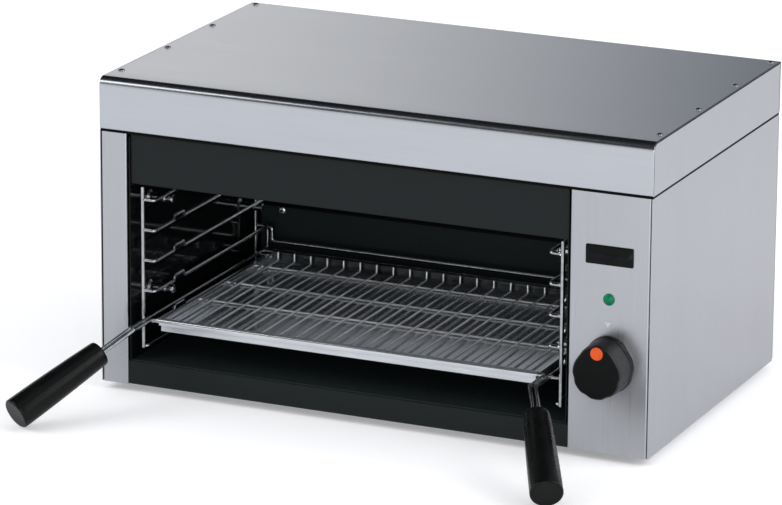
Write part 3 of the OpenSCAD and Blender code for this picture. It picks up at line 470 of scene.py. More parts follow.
# %% [markdown]
# ## Plastics, rubber and the rest
# Knob and grips are phenolic moulding compound, which stays hard near heat: near black, satin, with a very
# fine texture. Feet are black rubber. Inside are a mineral-fibre mat, steatite terminals and silicone leads.

# %% Moulded and small materials
def moulded(name, dark, light, roughness, specular, grain_mm, depth_mm):
    """A moulded plastic, rubber or ceramic with a fine grain."""
    made, tree = new_material(name)
    grain = noise(tree, (grain_mm,) * 3, 3)
    patches = noise(tree, (14,) * 3, 2)
    surface(tree, (patches, dark, light), (patches, roughness - 0.04, roughness + 0.04),
            (grain, depth_mm, 0.5), {"Specular IOR Level": specular})
    return made


phenolic = moulded("phenolic_moulded_black", "#090a0a", "#0d0e0e", 0.28, 0.14, 0.6, 0.01)
grained_phenolic = moulded("phenolic_grained_black", "#060707", "#0a0b0b", 0.38, 0.4, 0.9, 0.04)
matt_phenolic = moulded("phenolic_blasted_black", "#0a0c0c", "#0e1010", 0.45, 0.08, 0.6, 0.01)
rubber = moulded("rubber_moulded_black", "#161616", "#1d1d1d", 0.7, 0.3, 0.8, 0.03)
seal_rubber = moulded("silicone_seal_black", "#030303", "#060606", 0.7, 0.08, 0.8, 0.02)
polyamide = moulded("polyamide_moulded_black", "#121314", "#1a1b1c", 0.5, 0.4, 0.5, 0.02)
acrylic = moulded("acrylic_plate_black", "#08090a", "#0d0e0f", 0.12, 0.1, 1.0, 0.004)
steatite = moulded("steatite_ceramic_white", "#dedacd", "#efece2", 0.35, 0.5, 0.7, 0.02)
silicone = moulded("silicone_lead_brick_red", "#a8452a", "#c05c38", 0.5, 0.4, 0.6, 0.01)
fibre_mat = moulded("mineral_fibre_mat", "#c2bdae", "#e4e0d2", 0.95, 0.1, 1.5, 0.4)
dot_paint = moulded("enamel_paint_orange", "#d04c16", "#d85720", 0.4, 0.2, 0.8, 0.01)
sheath = moulded("heater_sheath_oxidised", "#3a3633", "#57504a", 0.55, 0.4, 1.2, 0.02)
mark_ink = moulded("printed_mark_pale", "#b6babf", "#bfc3c8", 0.5, 0.3, 0.8, 0.005)
neon_green = moulded("neon_lens_green", "#046744", "#0a7b52", 0.12, 0.16, 1.0, 0.004)
print("materials so far:", len(bpy.data.materials))

# %% [markdown]
# ## Which node gets which finish
# A CAD node whose shape is right keeps it, and only takes its material.

# %% Finishes of the CAD nodes
FINISHES = {
    upright_steel: ["left_side_panel", "right_side_panel", "left_post", "control_panel", "back_panel",
                    "hood_end_left", "hood_end_right"],
    hood_steel_painted_lighter: ["top_cover"],
    inner_steel: ["base_tray", "rear_brackets", "element_hanger_left", "element_hanger_right"],
    fascia_enamel: ["upper_fascia", "lower_fascia"],
    oven_enamel: ["liner_left", "liner_right"],
    wall_enamel: ["liner_back", "liner_floor"],
    bright_sheet: ["heat_reflector"],
    chrome_wire_painted_lighter: ["toasting_grid"],
    frame_wire_painted_darker: ["shelf_frame", "rack_left", "rack_right", "rack_studs_left", "rack_studs_right"],
    tray_steel: ["drip_tray"],
    screw_plate: ["foot_screws", "back_screws", "cover_screws", "fascia_screws", "liner_screws",
                  "regulator_screws", "regulator_shaft"],
    phenolic: ["grip_left", "grip_right", "control_knob", "energy_regulator"],
    rubber: ["foot_front_left", "foot_front_right", "foot_rear_left", "foot_rear_right"],
    seal_rubber: ["hood_seal"],
    polyamide: ["cable_gland", "gland_nut", "neon_body"],
    acrylic: ["front_plate"],
    steatite: ["terminal_block"],
    silicone: ["supply_leads", "element_leads"],
    fibre_mat: ["insulation"],
    dot_paint: ["knob_dot"],
    sheath: ["element_front", "element_middle", "element_rear"],
    neon_green: ["neon_lens"],
}
for material, names in FINISHES.items():
    for name in names:
        finish = frame["nodes"][name].data.materials
        finish.clear()
        finish.append(material)
unfinished = set(frame["nodes"]) - {name for names in FINISHES.values() for name in names}
print("nodes without a finish:", sorted(unfinished))

# %% [markdown]
# ## Softened sheet edges
# A folded or punched sheet never has a razor edge: folds are round, and cut edges are broken with a file.
# Half a millimetre of rounding is what catches a fine light or dark line along every edge. The CAD model
# leaves it out, so each visible sheet is copied, its triangles are merged to whole faces, and its long outer
# edges are rounded. The cover's cut ends then take a painted shadow, and the tray's rear wall a painted
# shade, each as a second material.

# %% How a sheet is softened
def softened(name, choose=None, width_mm=0.4, rounds=3):
    """A copy of a CAD node's sheet with its long outer edges rounded, or those that a rule chooses."""
    node = frame["nodes"][name]
    choose = choose or (lambda edge: edge.calc_length() > 2 * width_mm * MM)
    work = bmesh.new()
    work.from_mesh(node.data)
    bmesh.ops.remove_doubles(work, verts=work.verts, dist=0.001 * MM)
    bmesh.ops.dissolve_limit(work, angle_limit=math.radians(0.5), verts=work.verts, edges=work.edges)
    turns = [e for e in work.edges if len(e.link_faces) == 2 and e.is_convex
             and e.calc_face_angle() > math.radians(50) and choose(e)]
    bmesh.ops.bevel(work, geom=turns, offset=width_mm * MM, offset_type="OFFSET", segments=rounds,
                    profile=0.5, affect="EDGES", clamp_overlap=False)
    mesh = bpy.data.meshes.new(name + "_fine")
    work.to_mesh(mesh)
    work.free()
    return piece(name + "_fine", shaded(mesh, node.data.materials[0], 12), body_of(node)[0], name)


def outer_ends(edge):
    """True on the hood's outline at its left and right ends, on the outside of the sheet."""
    middle = at(CASE_W / 2, CASE_D / 2, 280)
    at_end = all(abs(v.co.x - middle.x) > (CASE_W / 2 - 0.4) * MM for v in edge.verts)
    return at_end and any((face.calc_center_median() - middle).dot(face.normal) > 0
                          and abs(face.normal.x) < 0.1 for face in edge.link_faces)


print("edges in the tray as loose triangles:", len(frame["nodes"]["drip_tray"].data.edges))

# %% Softened sheets
cover = softened("top_cover", outer_ends, 0.5)
# the cover's cut ends take the painted shadow of the gap at the end plates
cover.data.materials.append(painted_shadow_edge)
for face in cover.data.polygons:
    face.material_index = 1 if abs(face.normal.x) > 0.5 else 0
for name in ("left_side_panel", "right_side_panel", "left_post", "control_panel", "upper_fascia",
             "lower_fascia"):
    softened(name)
tray = softened("drip_tray")
# the tray's rear wall takes the painted shade
tray.data.materials.append(painted_shade_tray_steel)
tray_middle = sum(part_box("drip_tray"), Vector()) / 2
for face in tray.data.polygons:
    face.material_index = 1 if face.normal.y < -0.3 and face.center.y > tray_middle.y else 0

# %% [markdown]
# The end plates are set into the cover, and a hairline strip of black rubber fills the joint: a painted
# shadow of the gap there. It is one thin bead along the joint's path, stretched over small squares, on each
# end.

# %% Hood end seams
SEAM, SHEET, HOOD_R = 1.3, 1, 9
SEAM_FOOT, SEAM_END = 268, 355
SEAM_FACE, SEAM_BACK = 0.12, 0.6


def seam_rings(x, inner):
    """Squares along the joint of an end plate, between the depths x and inner."""
    line = [(SHEET, SEAM_FOOT, 1, 0)]
    for k in range(9):
        turn = math.radians(90 * k / 8)
        y = HOOD_R - (HOOD_R - SHEET) * math.cos(turn)
        z = CASE_H - HOOD_R + (HOOD_R - SHEET) * math.sin(turn)
        line.append((y, z, math.cos(turn), -math.sin(turn)))
    line.append((SEAM_END, CASE_H - SHEET, 0, -1))
    rings = []
    for y, z, in_y, in_z in line:
        far_y, far_z = y + in_y * SEAM, z + in_z * SEAM
        rings.append([at(x, y, z), at(inner, y, z), at(inner, far_y, far_z), at(x, far_y, far_z)])
    return rings


# a black strip in each joint stands for its shadow: a painted shadow
for side, depths in (("left", (SEAM_FACE, SEAM_BACK)), ("right", (CASE_W - SEAM_FACE, CASE_W - SEAM_BACK))):
    mesh = skin("painted_shadow_seam_" + side, seam_rings(*depths))
    piece("painted_shadow_seam_" + side, shaded(mesh, seal_rubber), "casing")

# %% [markdown]
# ## The bead under the hood
# The soft seal lies a little way inside the seam between hood and body. A bead of black sealant fills the
# rest of the groove, almost flush with the sheets, so the seam reads as one black line round the casing. It
# is one mitred ring.

# %% Hood bead
BODY_TOP, HOOD_FOOT = 265.02, 266.98
BEAD_FACE, BEAD_BACK = 0.5, 3.1
section = ((BEAD_FACE, BODY_TOP), (BEAD_BACK, BODY_TOP), (BEAD_BACK, HOOD_FOOT), (BEAD_FACE, HOOD_FOOT))
bead_rings = []
for right, rear in ((False, False), (True, False), (True, True), (False, True)):
    bead_rings.append([at(CASE_W - inset if right else inset, CASE_D - inset if rear else inset, z)
                       for inset, z in section])
piece("hood_bead", shaded(skin("hood_bead", bead_rings, loop=True), seal_rubber), "casing")
print("bead round the casing, mm:", BEAD_BACK - BEAD_FACE, "by", round(HOOD_FOOT - BODY_TOP, 2))

# %% [markdown]
# ## Trees that repeat a form
# Screws, welds, rods and ribs are each one small form that is repeated by a rule. Geometry Nodes hold the
# form and the rule once, with its sizes as named inputs, and the same tree then serves every place where it
# recurs. The result is kept as a plain mesh, because only plain meshes can be handed on.

# %% Geometry trees
KINDS = {float: "Float", int: "Int", tuple: "Vector"}


def geometry_tree(name, inputs):
    """An empty geometry tree. Its inputs are first values or kinds of socket by name, and a finish."""
    tree = bpy.data.node_groups.new(name, "GeometryNodeTree")
    tree.interface.new_socket("Geometry", in_out="OUTPUT", socket_type="NodeSocketGeometry")
    for title, value in {**inputs, "Finish": "Material"}.items():
        kind = KINDS.get(type(value), value)
        socket = tree.interface.new_socket(title, in_out="INPUT", socket_type="NodeSocket" + kind)
        if kind is not value:
            socket.default_value = value
    return tree, add(tree, "NodeGroupInput").outputs


def end_tree(tree, geometry):
    """Realizes the instances, gives them the tree's finish, sends them out and returns the whole tree."""
    finish = add(tree, "NodeGroupInput").outputs["Finish"]
    real = add(tree, "GeometryNodeRealizeInstances", {0: geometry})
    coated = add(tree, "GeometryNodeSetMaterial", {"Geometry": real, "Material": finish})
    add(tree, "NodeGroupOutput", {0: coated})
    return tree


print("kinds of tree input:", ", ".join(KINDS.values()))

# %% From a tree to a plain mesh
def grown(name, tree, material, values, start=None):
    """The plain mesh that a tree makes from these input values, and from a starting mesh if it takes one."""
    host = bpy.data.objects.new(name + "_host", start or bpy.data.meshes.new(name + "_start"))
    bpy.context.scene.collection.objects.link(host)
    modifier = host.modifiers.new("tree", "NODES")
    modifier.node_group = tree
    values = {**values, "Finish": material}
    for socket in tree.interface.items_tree:
        if socket.in_out == "INPUT" and socket.name in values:
            modifier[socket.identifier] = values[socket.name]
    graph = bpy.context.evaluated_depsgraph_get()
    mesh = bpy.data.meshes.new_from_object(host.evaluated_get(graph), depsgraph=graph)
    mesh.name = name
    bpy.data.objects.remove(host)
    return shaded(mesh, material)


def places_mesh(places, **facts):
    """Loose points, with a vector or a number stored at each for the tree to read."""
    mesh = bpy.data.meshes.new("places")
    mesh.from_pydata(places, [], [])
    for title, values in facts.items():
        vectors = isinstance(values[0], Vector)
        layer = mesh.attributes.new(title, "FLOAT_VECTOR" if vectors else "FLOAT", "POINT")
        for item, value in zip(layer.data, values):
            if vectors:
                item.vector = value
            else:
                item.value = value
    return mesh


print("a tree's result becomes a plain mesh")

# %% [markdown]
# ## Screws
# The hood, the back and the fascia are held by pan-head screws with a cross recess, pressed cold from wire
# and nickel plated. The tree makes one: a cylinder whose top is pulled down towards its rim, less a cross,
# with its shank. It stands one on each place, turned by chance, as a fitter leaves them.

# %% Screw head
HEAD_HEIGHT = 1.6
tree, sizes = geometry_tree("pan_head_screws", {
    "Places": "Geometry", "Head Radius": 4.0, "Head Height": HEAD_HEIGHT, "Recess Width": 0.9,
    "Recess Depth": 1.0, "Shank Radius": 2.0, "Shank Length": 5.0, "Seed": 7})

# a cylinder that stands on the place, and whose top falls with the third power of the way to its rim
half_up = add(tree, "ShaderNodeVectorMath", {0: (0, 0, 0.5), 3: sizes["Head Height"]}, operation="SCALE")
blank = add(tree, "GeometryNodeMeshCylinder", {
    "Vertices": 28, "Side Segments": 1, "Fill Segments": 5,
    "Radius": sizes["Head Radius"], "Depth": sizes["Head Height"]})
blank = add(tree, "GeometryNodeTransform", {"Geometry": blank, "Translation": half_up})
spot = add(tree, "ShaderNodeSeparateXYZ", {0: add(tree, "GeometryNodeInputPosition")})
flat = add(tree, "ShaderNodeCombineXYZ", {"X": spot.outputs["X"], "Y": spot.outputs["Y"]})
out = add(tree, "ShaderNodeVectorMath", {0: flat}, operation="LENGTH")
share = add(tree, "ShaderNodeMath", {0: out, 1: sizes["Head Radius"]}, operation="DIVIDE")
steep = add(tree, "ShaderNodeMath", {0: share, 1: 3.0}, operation="POWER")
fall = add(tree, "ShaderNodeMath", {0: sizes["Head Height"], 1: -0.6}, operation="MULTIPLY")
drop = add(tree, "ShaderNodeMath", {0: steep, 1: fall}, operation="MULTIPLY")
is_top = add(tree, "ShaderNodeMath", {0: spot.outputs["Z"], 1: 0.5}, operation="GREATER_THAN")
head = add(tree, "GeometryNodeSetPosition", {
    "Geometry": blank, "Selection": is_top,
    "Offset": add(tree, "ShaderNodeCombineXYZ", {"Z": drop})})
print("screw head:", len(tree.nodes), "nodes")

# %% Screw recess and shank
# two crossed bars, sunk half their depth into the head's top, are taken away
arm = add(tree, "ShaderNodeMath", {0: sizes["Head Radius"], 1: 1.1}, operation="MULTIPLY")
depth = add(tree, "ShaderNodeMath", {0: sizes["Recess Depth"], 1: 2.0}, operation="MULTIPLY")
crown = add(tree, "ShaderNodeCombineXYZ", {"Z": sizes["Head Height"]})
bars = []
for x, y in ((sizes["Recess Width"], arm), (arm, sizes["Recess Width"])):
    size = add(tree, "ShaderNodeCombineXYZ", {"X": x, "Y": y, "Z": depth})
    bar = add(tree, "GeometryNodeMeshCube", {"Size": size})
    bars.append(add(tree, "GeometryNodeTransform", {"Geometry": bar, "Translation": crown}))
cut = add(tree, "GeometryNodeMeshBoolean", {0: head, 1: bars}, operation="DIFFERENCE")

half_down = add(tree, "ShaderNodeVectorMath", {0: (0, 0, -0.5), 3: sizes["Shank Length"]}, operation="SCALE")
shank = add(tree, "GeometryNodeMeshCylinder", {
    "Vertices": 16, "Radius": sizes["Shank Radius"], "Depth": sizes["Shank Length"]})
shank = add(tree, "GeometryNodeTransform", {"Geometry": shank, "Translation": half_down})
screw = add(tree, "GeometryNodeJoinGeometry", {0: [cut, shank]})
print("whole screw:", len(tree.nodes), "nodes")

# %% Screw tree
# one screw on each place, as wide and in the direction that the place says
across = add(tree, "GeometryNodeInputNamedAttribute", {"Name": "across"}, data_type="FLOAT")
aim = add(tree, "GeometryNodeInputNamedAttribute", {"Name": "axis"}, data_type="FLOAT_VECTOR")
ratio = add(tree, "ShaderNodeMath", {0: across, 1: sizes["Head Radius"]}, operation="DIVIDE")
wide = add(tree, "ShaderNodeMath", {0: ratio, 1: MM}, operation="MULTIPLY")
stood = add(tree, "GeometryNodeInstanceOnPoints", {
    "Points": sizes["Places"], "Instance": screw,
    "Rotation": add(tree, "FunctionNodeAlignRotationToVector", {"Vector": aim}, axis="Z"),
    "Scale": add(tree, "ShaderNodeCombineXYZ", {"X": wide, "Y": wide, "Z": MM})})
chance = add(tree, "FunctionNodeRandomValue", {
    0: (0, 0, 0), 1: (0, 0, math.pi / 2), 8: sizes["Seed"]}, data_type="FLOAT_VECTOR")
spun = add(tree, "GeometryNodeRotateInstances", {"Instances": stood, "Rotation": chance})
screw_tree = end_tree(tree, spun)
print("screw tree:", len(tree.nodes), "nodes")

# %% [markdown]
# The places, sizes and directions come from the CAD model's own screws: each separate solid in such a node is
# one screw. Its tip and its breadth are read from the box round it.

# %% Where the screws are
def islands(name):
    """The lowest and highest corner of each separate solid in a CAD node."""
    work = bmesh.new()
    work.from_mesh(frame["nodes"][name].data)
    bmesh.ops.remove_doubles(work, verts=work.verts, dist=0.001 * MM)
    left, found = set(work.verts), []
    while left:
        group, edge = set(), [left.pop()]
        while edge:
            vert = edge.pop()
            group.add(vert)
            near = {e.other_vert(vert) for e in vert.link_edges} & left
            left -= near
            edge += near
        low = Vector([min(v.co[i] for v in group) for i in range(3)])
        high = Vector([max(v.co[i] for v in group) for i in range(3)])
        found.append((low, high))
    work.free()
    return sorted(found, key=lambda corners: tuple(corners[0]))


print("screws in the hood:", len(islands("cover_screws")))

# %% Screws
UP, BACK, FRONT = Vector((0, 0, 1)), Vector((0, 1, 0)), Vector((0, -1, 0))


def screws(name, body, axis, shank):
    """Screws in place of a CAD node's. The axis is a direction, or a rule that finds it from the place."""
    places, axes, across = [], [], []
    for low, high in islands(name):
        middle = (low + high) / 2
        way = axis(middle) if callable(axis) else axis
        reach = (high - low) / 2
        tip = middle + Vector([way[i] * reach[i] for i in range(3)])
        places.append(tip - way * HEAD_HEIGHT * MM)
        axes.append(way)
        across.append(max(reach[i] for i in range(3) if abs(way[i]) < 0.5) / MM)
    start = places_mesh(places, axis=axes, across=across)
    mesh = grown(name + "_fine", screw_tree, screw_plate, {"Shank Length": shank}, start)
    piece(name + "_fine", mesh, body, name)


def towards_oven(place):
    """To the right in the casing's left half, and to the left in the other."""
    return Vector((1 if place.x < at(CASE_W / 2, 0, 0).x else -1, 0, 0))


screws("cover_screws", "casing", UP, 6)
screws("back_screws", "casing", BACK, 5)
screws("fascia_screws", "casing", towards_oven, 4)
screws("foot_screws", "casing", UP, 6)
screws("liner_screws", "casing", FRONT, 5)
screws("regulator_screws", "casing", FRONT, 6)

# %% [markdown]
# ## Toasting grid
# The grid is 22 rods of 2.5 mm wire, turned up at the rear, resistance-welded over three cross wires. Where
# two wires are pressed together hot, each crossing keeps a small flattened bead. The tree bends one rod from
# three corners, repeats it along a line, does the same with the cross wires, and sets a bead on each
# crossing.

# %% One rod of the grid
tree, wires = geometry_tree("toasting_grid", {
    "Rods": 22, "Pitch": 0.02, "First Rod": (0.0, 0.0, 0.0), "Length": 0.26, "Turn Up": 0.01, "Bend": 0.003,
    "Wire Radius": 0.00125, "Cross Wires": 3, "First Cross": 0.1, "Cross Pitch": 0.06, "Cross Drop": 0.0022,
    "Overhang": 0.002, "Bead Radius": 0.0016, "Seed": 3})

# three corners, the last one turned up, with a round bend between
line = add(tree, "GeometryNodeCurvePrimitiveLine", {"End": (0, 0, 1)})
line = add(tree, "GeometryNodeResampleCurve", {"Curve": line, "Count": 3})
choice = add(tree, "GeometryNodeIndexSwitch", {
    0: add(tree, "GeometryNodeInputIndex")}, data_type="VECTOR")
choice.index_switch_items.new()
for i, corner in enumerate(({}, {"Y": wires["Length"]}, {"Y": wires["Length"], "Z": wires["Turn Up"]})):
    place = add(tree, "ShaderNodeCombineXYZ", corner)
    tree.links.new(place.outputs[0], choice.inputs[i + 1])
line = add(tree, "GeometryNodeSetPosition", {"Geometry": line, "Position": choice})
bent = add(tree, "GeometryNodeFilletCurve", {
    "Curve": line, "Radius": wires["Bend"], "Count": 6}, mode="POLY")
section = add(tree, "GeometryNodeCurvePrimitiveCircle", {
    "Resolution": 14, "Radius": wires["Wire Radius"]})
rod = add(tree, "GeometryNodeCurveToMesh", {
    "Curve": bent, "Profile Curve": section, "Fill Caps": True})
print("one rod:", len(tree.nodes), "nodes")

# %% Rods and cross wires
rod_points = add(tree, "GeometryNodeMeshLine", {
    "Count": wires["Rods"], "Start Location": wires["First Rod"],
    "Offset": add(tree, "ShaderNodeCombineXYZ", {"X": wires["Pitch"]})})
rods = add(tree, "GeometryNodeInstanceOnPoints", {"Points": rod_points, "Instance": rod})

# straight wires below the rods, which run past the first and the last of them
drop = add(tree, "ShaderNodeMath", {0: wires["Cross Drop"], 1: -1.0}, operation="MULTIPLY")
cross_points = add(tree, "GeometryNodeMeshLine", {
    "Count": wires["Cross Wires"],
    "Start Location": add(tree, "ShaderNodeCombineXYZ", {"Y": wires["First Cross"], "Z": drop}),
    "Offset": add(tree, "ShaderNodeCombineXYZ", {"Y": wires["Cross Pitch"]})})
gaps = add(tree, "ShaderNodeMath", {0: wires["Rods"], 1: 1.0}, operation="SUBTRACT")
row = add(tree, "ShaderNodeMath", {0: wires["Pitch"], 1: gaps}, operation="MULTIPLY")
left = add(tree, "ShaderNodeMath", {0: wires["Overhang"], 1: -1.0}, operation="MULTIPLY")
right = add(tree, "ShaderNodeMath", {0: row, 1: wires["Overhang"]}, operation="ADD")
straight = add(tree, "GeometryNodeCurvePrimitiveLine", {
    "Start": add(tree, "ShaderNodeCombineXYZ", {"X": left}),
    "End": add(tree, "ShaderNodeCombineXYZ", {"X": right})})
cross_wire = add(tree, "GeometryNodeCurveToMesh", {
    "Curve": straight, "Profile Curve": section, "Fill Caps": True})
cross_wires = add(tree, "GeometryNodeInstanceOnPoints", {
    "Points": cross_points, "Instance": cross_wire})
cross_wires = add(tree, "GeometryNodeTransform", {
    "Geometry": cross_wires, "Translation": wires["First Rod"]})
print("rods and cross wires:", len(tree.nodes), "nodes")

# %% Grid tree
# an uneven bead lies on every crossing, half way between the two wires
ball = add(tree, "GeometryNodeMeshIcoSphere", {"Radius": wires["Bead Radius"], "Subdivisions": 2})
crossings = add(tree, "GeometryNodeInstanceOnPoints", {
    "Points": rod_points, "Instance": cross_points})
uneven = add(tree, "FunctionNodeRandomValue", {
    0: (0.85, 0.85, 0.5), 1: (1.15, 1.15, 0.65), 8: wires["Seed"]}, data_type="FLOAT_VECTOR")
beads = add(tree, "GeometryNodeInstanceOnPoints", {
    "Points": add(tree, "GeometryNodeRealizeInstances", {0: crossings}),
    "Instance": ball, "Scale": uneven})
half_way = add(tree, "ShaderNodeVectorMath", {0: (0, 0, 0.5), 3: wires["Cross Drop"]}, operation="SCALE")
beads = add(tree, "GeometryNodeTransform", {"Geometry": beads, "Translation": half_way})
whole = add(tree, "GeometryNodeJoinGeometry", {0: [rods, cross_wires, beads]})
grid_tree = end_tree(tree, whole)
print("grid tree:", len(tree.nodes), "nodes")

# %% [markdown]
# The grid's own sizes come from the box of the CAD node that it stands for, so it lies in the tray exactly
# where that one does. Crossed wires are pressed 0.3 mm into each other where they are welded.

# %% Toasting grid
WIRE, RODS, OVERHANG, PRESSED = 2.5, 22, 2, 0.3
FIRST_CROSS, CROSS_STEP = 0.41, 0.255
grid_low, grid_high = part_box("toasting_grid")
grid_span = (grid_high[0] - grid_low[0]) / MM
rod_start = Vector((grid_low[0] + OVERHANG * MM, grid_low[1], grid_low[2] + (1.5 * WIRE - PRESSED) * MM))
rod_length = (grid_high[1] - grid_low[1]) - WIRE / 2 * MM
grid_mesh = grown("toasting_grid_fine", grid_tree, chrome_wire_painted_lighter, {
    "Rods": RODS, "Pitch": (grid_span - 2 * OVERHANG) / (RODS - 1) * MM, "First Rod": rod_start,
    "Length": rod_length, "Turn Up": grid_high[2] - rod_start[2], "Wire Radius": WIRE / 2 * MM,
    "Cross Wires": 3, "First Cross": FIRST_CROSS * rod_length, "Cross Pitch": CROSS_STEP * rod_length,
    "Cross Drop": (WIRE - PRESSED) * MM})
piece("toasting_grid_fine", grid_mesh, "grid", "toasting_grid")

# %% [markdown]
# ## Weld beads
# A spot weld between round wires squeezes out a small collar of metal. The same form sits on every joint of
# the racks and of the shelf's frame, never twice alike: size and turn come from a fixed seed.

# %% Weld bead tree
tree, weld = geometry_tree("weld_beads", {"Places": "Geometry", "Bead Radius": 0.0024, "Seed": 5})
ball = add(tree, "GeometryNodeMeshIcoSphere", {"Radius": weld["Bead Radius"], "Subdivisions": 3})
lumps = add(tree, "ShaderNodeTexNoise", {"Scale": 500.0, "Detail": 2.0})
centred = add(tree, "ShaderNodeMath", {0: lumps, 1: 0.5}, operation="SUBTRACT")
lump = add(tree, "ShaderNodeMath", {0: centred, 1: weld["Bead Radius"]}, operation="MULTIPLY")
normal = add(tree, "GeometryNodeInputNormal")
outward = add(tree, "ShaderNodeVectorMath", {0: normal, 3: lump}, operation="SCALE")
lumpy = add(tree, "GeometryNodeSetPosition", {"Geometry": ball, "Offset": outward})
turn = add(tree, "FunctionNodeRandomValue", {
    0: (0, 0, 0), 1: (6.28, 6.28, 6.28), 8: weld["Seed"]}, data_type="FLOAT_VECTOR")
size = add(tree, "FunctionNodeRandomValue", {
    0: (0.9, 0.9, 0.8), 1: (1.1, 1.1, 1.0), 8: weld["Seed"]}, data_type="FLOAT_VECTOR")
beads = add(tree, "GeometryNodeInstanceOnPoints", {
    "Points": weld["Places"], "Instance": lumpy, "Rotation": turn, "Scale": size})
weld_tree = end_tree(tree, beads)
print("weld bead tree:", len(tree.nodes), "nodes")

# %% Weld beads
OVEN_MIDDLE = 272.25


def both_sides(points):
    """Places given in millimetres on the left of the oven, and the same places on its right."""
    return [at(x, y, z) for x, y, z in points] + [at(2 * OVEN_MIDDLE - x, y, z) for x, y, z in points]


UPRIGHT, RACK_ENDS, LEVELS = 42, (12, 277), range(67, 196, 32)
SHELF_WIRE, SHELF_Z = 50, 71.3
# a rack's five runners cross its two uprights
rack_joints = both_sides([(UPRIGHT + 2.3, y, z) for y in RACK_ENDS for z in LEVELS])
# the shelf's side wires meet the rear bar, and in front they are tacked to the handles' second wires
shelf_joints = both_sides([(SHELF_WIRE + 1.8, 279, SHELF_Z), (SHELF_WIRE + 2.75, -9.1, SHELF_Z),
                           (SHELF_WIRE + 2.75, -24.7, SHELF_Z)])
for name, body, joints, size in (("rack_weld_beads", "casing", rack_joints, {}),
                                 ("shelf_weld_beads", "shelf", shelf_joints, {"Bead Radius": 0.0019})):
    piece(name, grown(name, weld_tree, frame_wire_painted_darker, size, places_mesh(joints)), body)

# %% [markdown]
# ## Control knob
# The knob is moulded phenolic: round below, drawn out to a blunt nose that points at the setting, with four
# shallow hollows for the fingers. Such a mould has draft, so the side narrows a little from the skirt to the
# face, and every edge has a radius. The outline is the outermost of a row of circles, less the hollows, and
# the skin is stretched over that outline at each depth.

# %% Knob outline
KNOB_X, KNOB_Z = 556.25, 89.8
KNOB_R, NOSE, NOSE_R = 27.2, 10.5, 21.1
HOLLOWS, HOLLOW_R, HOLLOW, BLEND = (193, 244, 296, 347), 16, 0.9, 0.5


def knob_outline(angle):
    """The knob's radius in the direction of angle, counted from its right."""
    widest = 0
    for k in range(11):
        centre, radius = NOSE * k / 10, KNOB_R + (NOSE_R - KNOB_R) * k / 10
        reach = math.sqrt(radius ** 2 - (centre * math.cos(angle)) ** 2)
        widest = max(widest, centre * math.sin(angle) + reach)
    distance = KNOB_R + HOLLOW_R - HOLLOW
    for hollow in HOLLOWS:
        off = angle - math.radians(hollow)
        room = HOLLOW_R ** 2 - (distance * math.sin(off)) ** 2
        if math.cos(off) > 0 and room > 0:
            inner = distance * math.cos(off) - math.sqrt(room)
            # the smaller of the two radii, with the rim between them rounded by BLEND
            widest = -BLEND * math.log(math.exp(-widest / BLEND) + math.exp(-inner / BLEND))
    return widest


print("knob, mm across:", round(knob_outline(0) + knob_outline(math.pi), 1))

# %% Knob
def on_panel(u, v, out):
    """A place right and up from the knob's axis, and out from the panel."""
    return at(KNOB_X + u, -out, KNOB_Z + v)


def knob_ring(out, inset, count=160):
    """The knob's outline drawn in by inset, at a distance out from the panel."""
    ring = []
    for k in range(count):
        angle = math.tau * k / count
        r = max(knob_outline(angle) - inset, 0)
        ring.append(on_panel(r * math.cos(angle), r * math.sin(angle), out))
    return ring


KNOB_BASE, KNOB_FACE, EDGE, EDGE_INSET = 1.0, 30.5, 2.0, 1.65
CENTRE = 40
skirt = ((0, CENTRE), (0, 0.7), (0.15, 0.25), (0.5, 0), (2.6, 0), (3.0, 0.2), (3.3, 0.75), (4.2, 0.9))
knob_side = [(KNOB_BASE + out, inset) for out, inset in skirt]
knob_side += [(KNOB_BASE + 4.2 + k * 4, 0.9 + 0.12 * k) for k in range(1, 6)]
for k in range(8):
    turn = math.radians(90 * k / 7)
    knob_side.append((KNOB_FACE - EDGE * (1 - math.sin(turn)), EDGE_INSET + EDGE * (1 - math.cos(turn))))
knob_side += [(KNOB_FACE - 0.02, 4.6), (KNOB_FACE - 0.06, 12), (KNOB_FACE - 0.08, CENTRE)]
knob_rings = [knob_ring(out, inset) for out, inset in knob_side]
knob_mesh = shaded(skin("control_knob_fine", knob_rings), grained_phenolic)
knob_mesh.materials.append(matt_phenolic)
for face in knob_mesh.polygons:
    face.material_index = 1 if face.normal.y < -0.97 else 0
piece("control_knob_fine", knob_mesh, "knob", "control_knob")

# %% [markdown]
# The coloured dot is a disc of plastic pressed into the face, slightly domed, with a fine groove round it.

# %% Knob dot
DOT_R, DOT_UP = 6.75, 21.65
dot_profile = [(-1, 0), (-1, DOT_R - 0.2), (0.0, DOT_R - 0.2), (0.14, DOT_R - 0.45)]
dot_profile += [(0.2 - 0.06 * (k / 5) ** 2, (DOT_R - 0.8) * k / 5) for k in range(5, -1, -1)]
dot_mesh = turned("knob_dot_fine", on_panel(0, DOT_UP, KNOB_FACE - 0.02), FRONT, dot_profile, 48)
piece("knob_dot_fine", shaded(dot_mesh, dot_paint), "knob", "knob_dot")

# %% [markdown]
# ## Grips
# Each grip is turned in phenolic: thinner where the wires enter, fuller towards the hand, with a rounded rim
# and a shallow dish in its end. Two mould lines run along it, so faint that only a low light shows them.

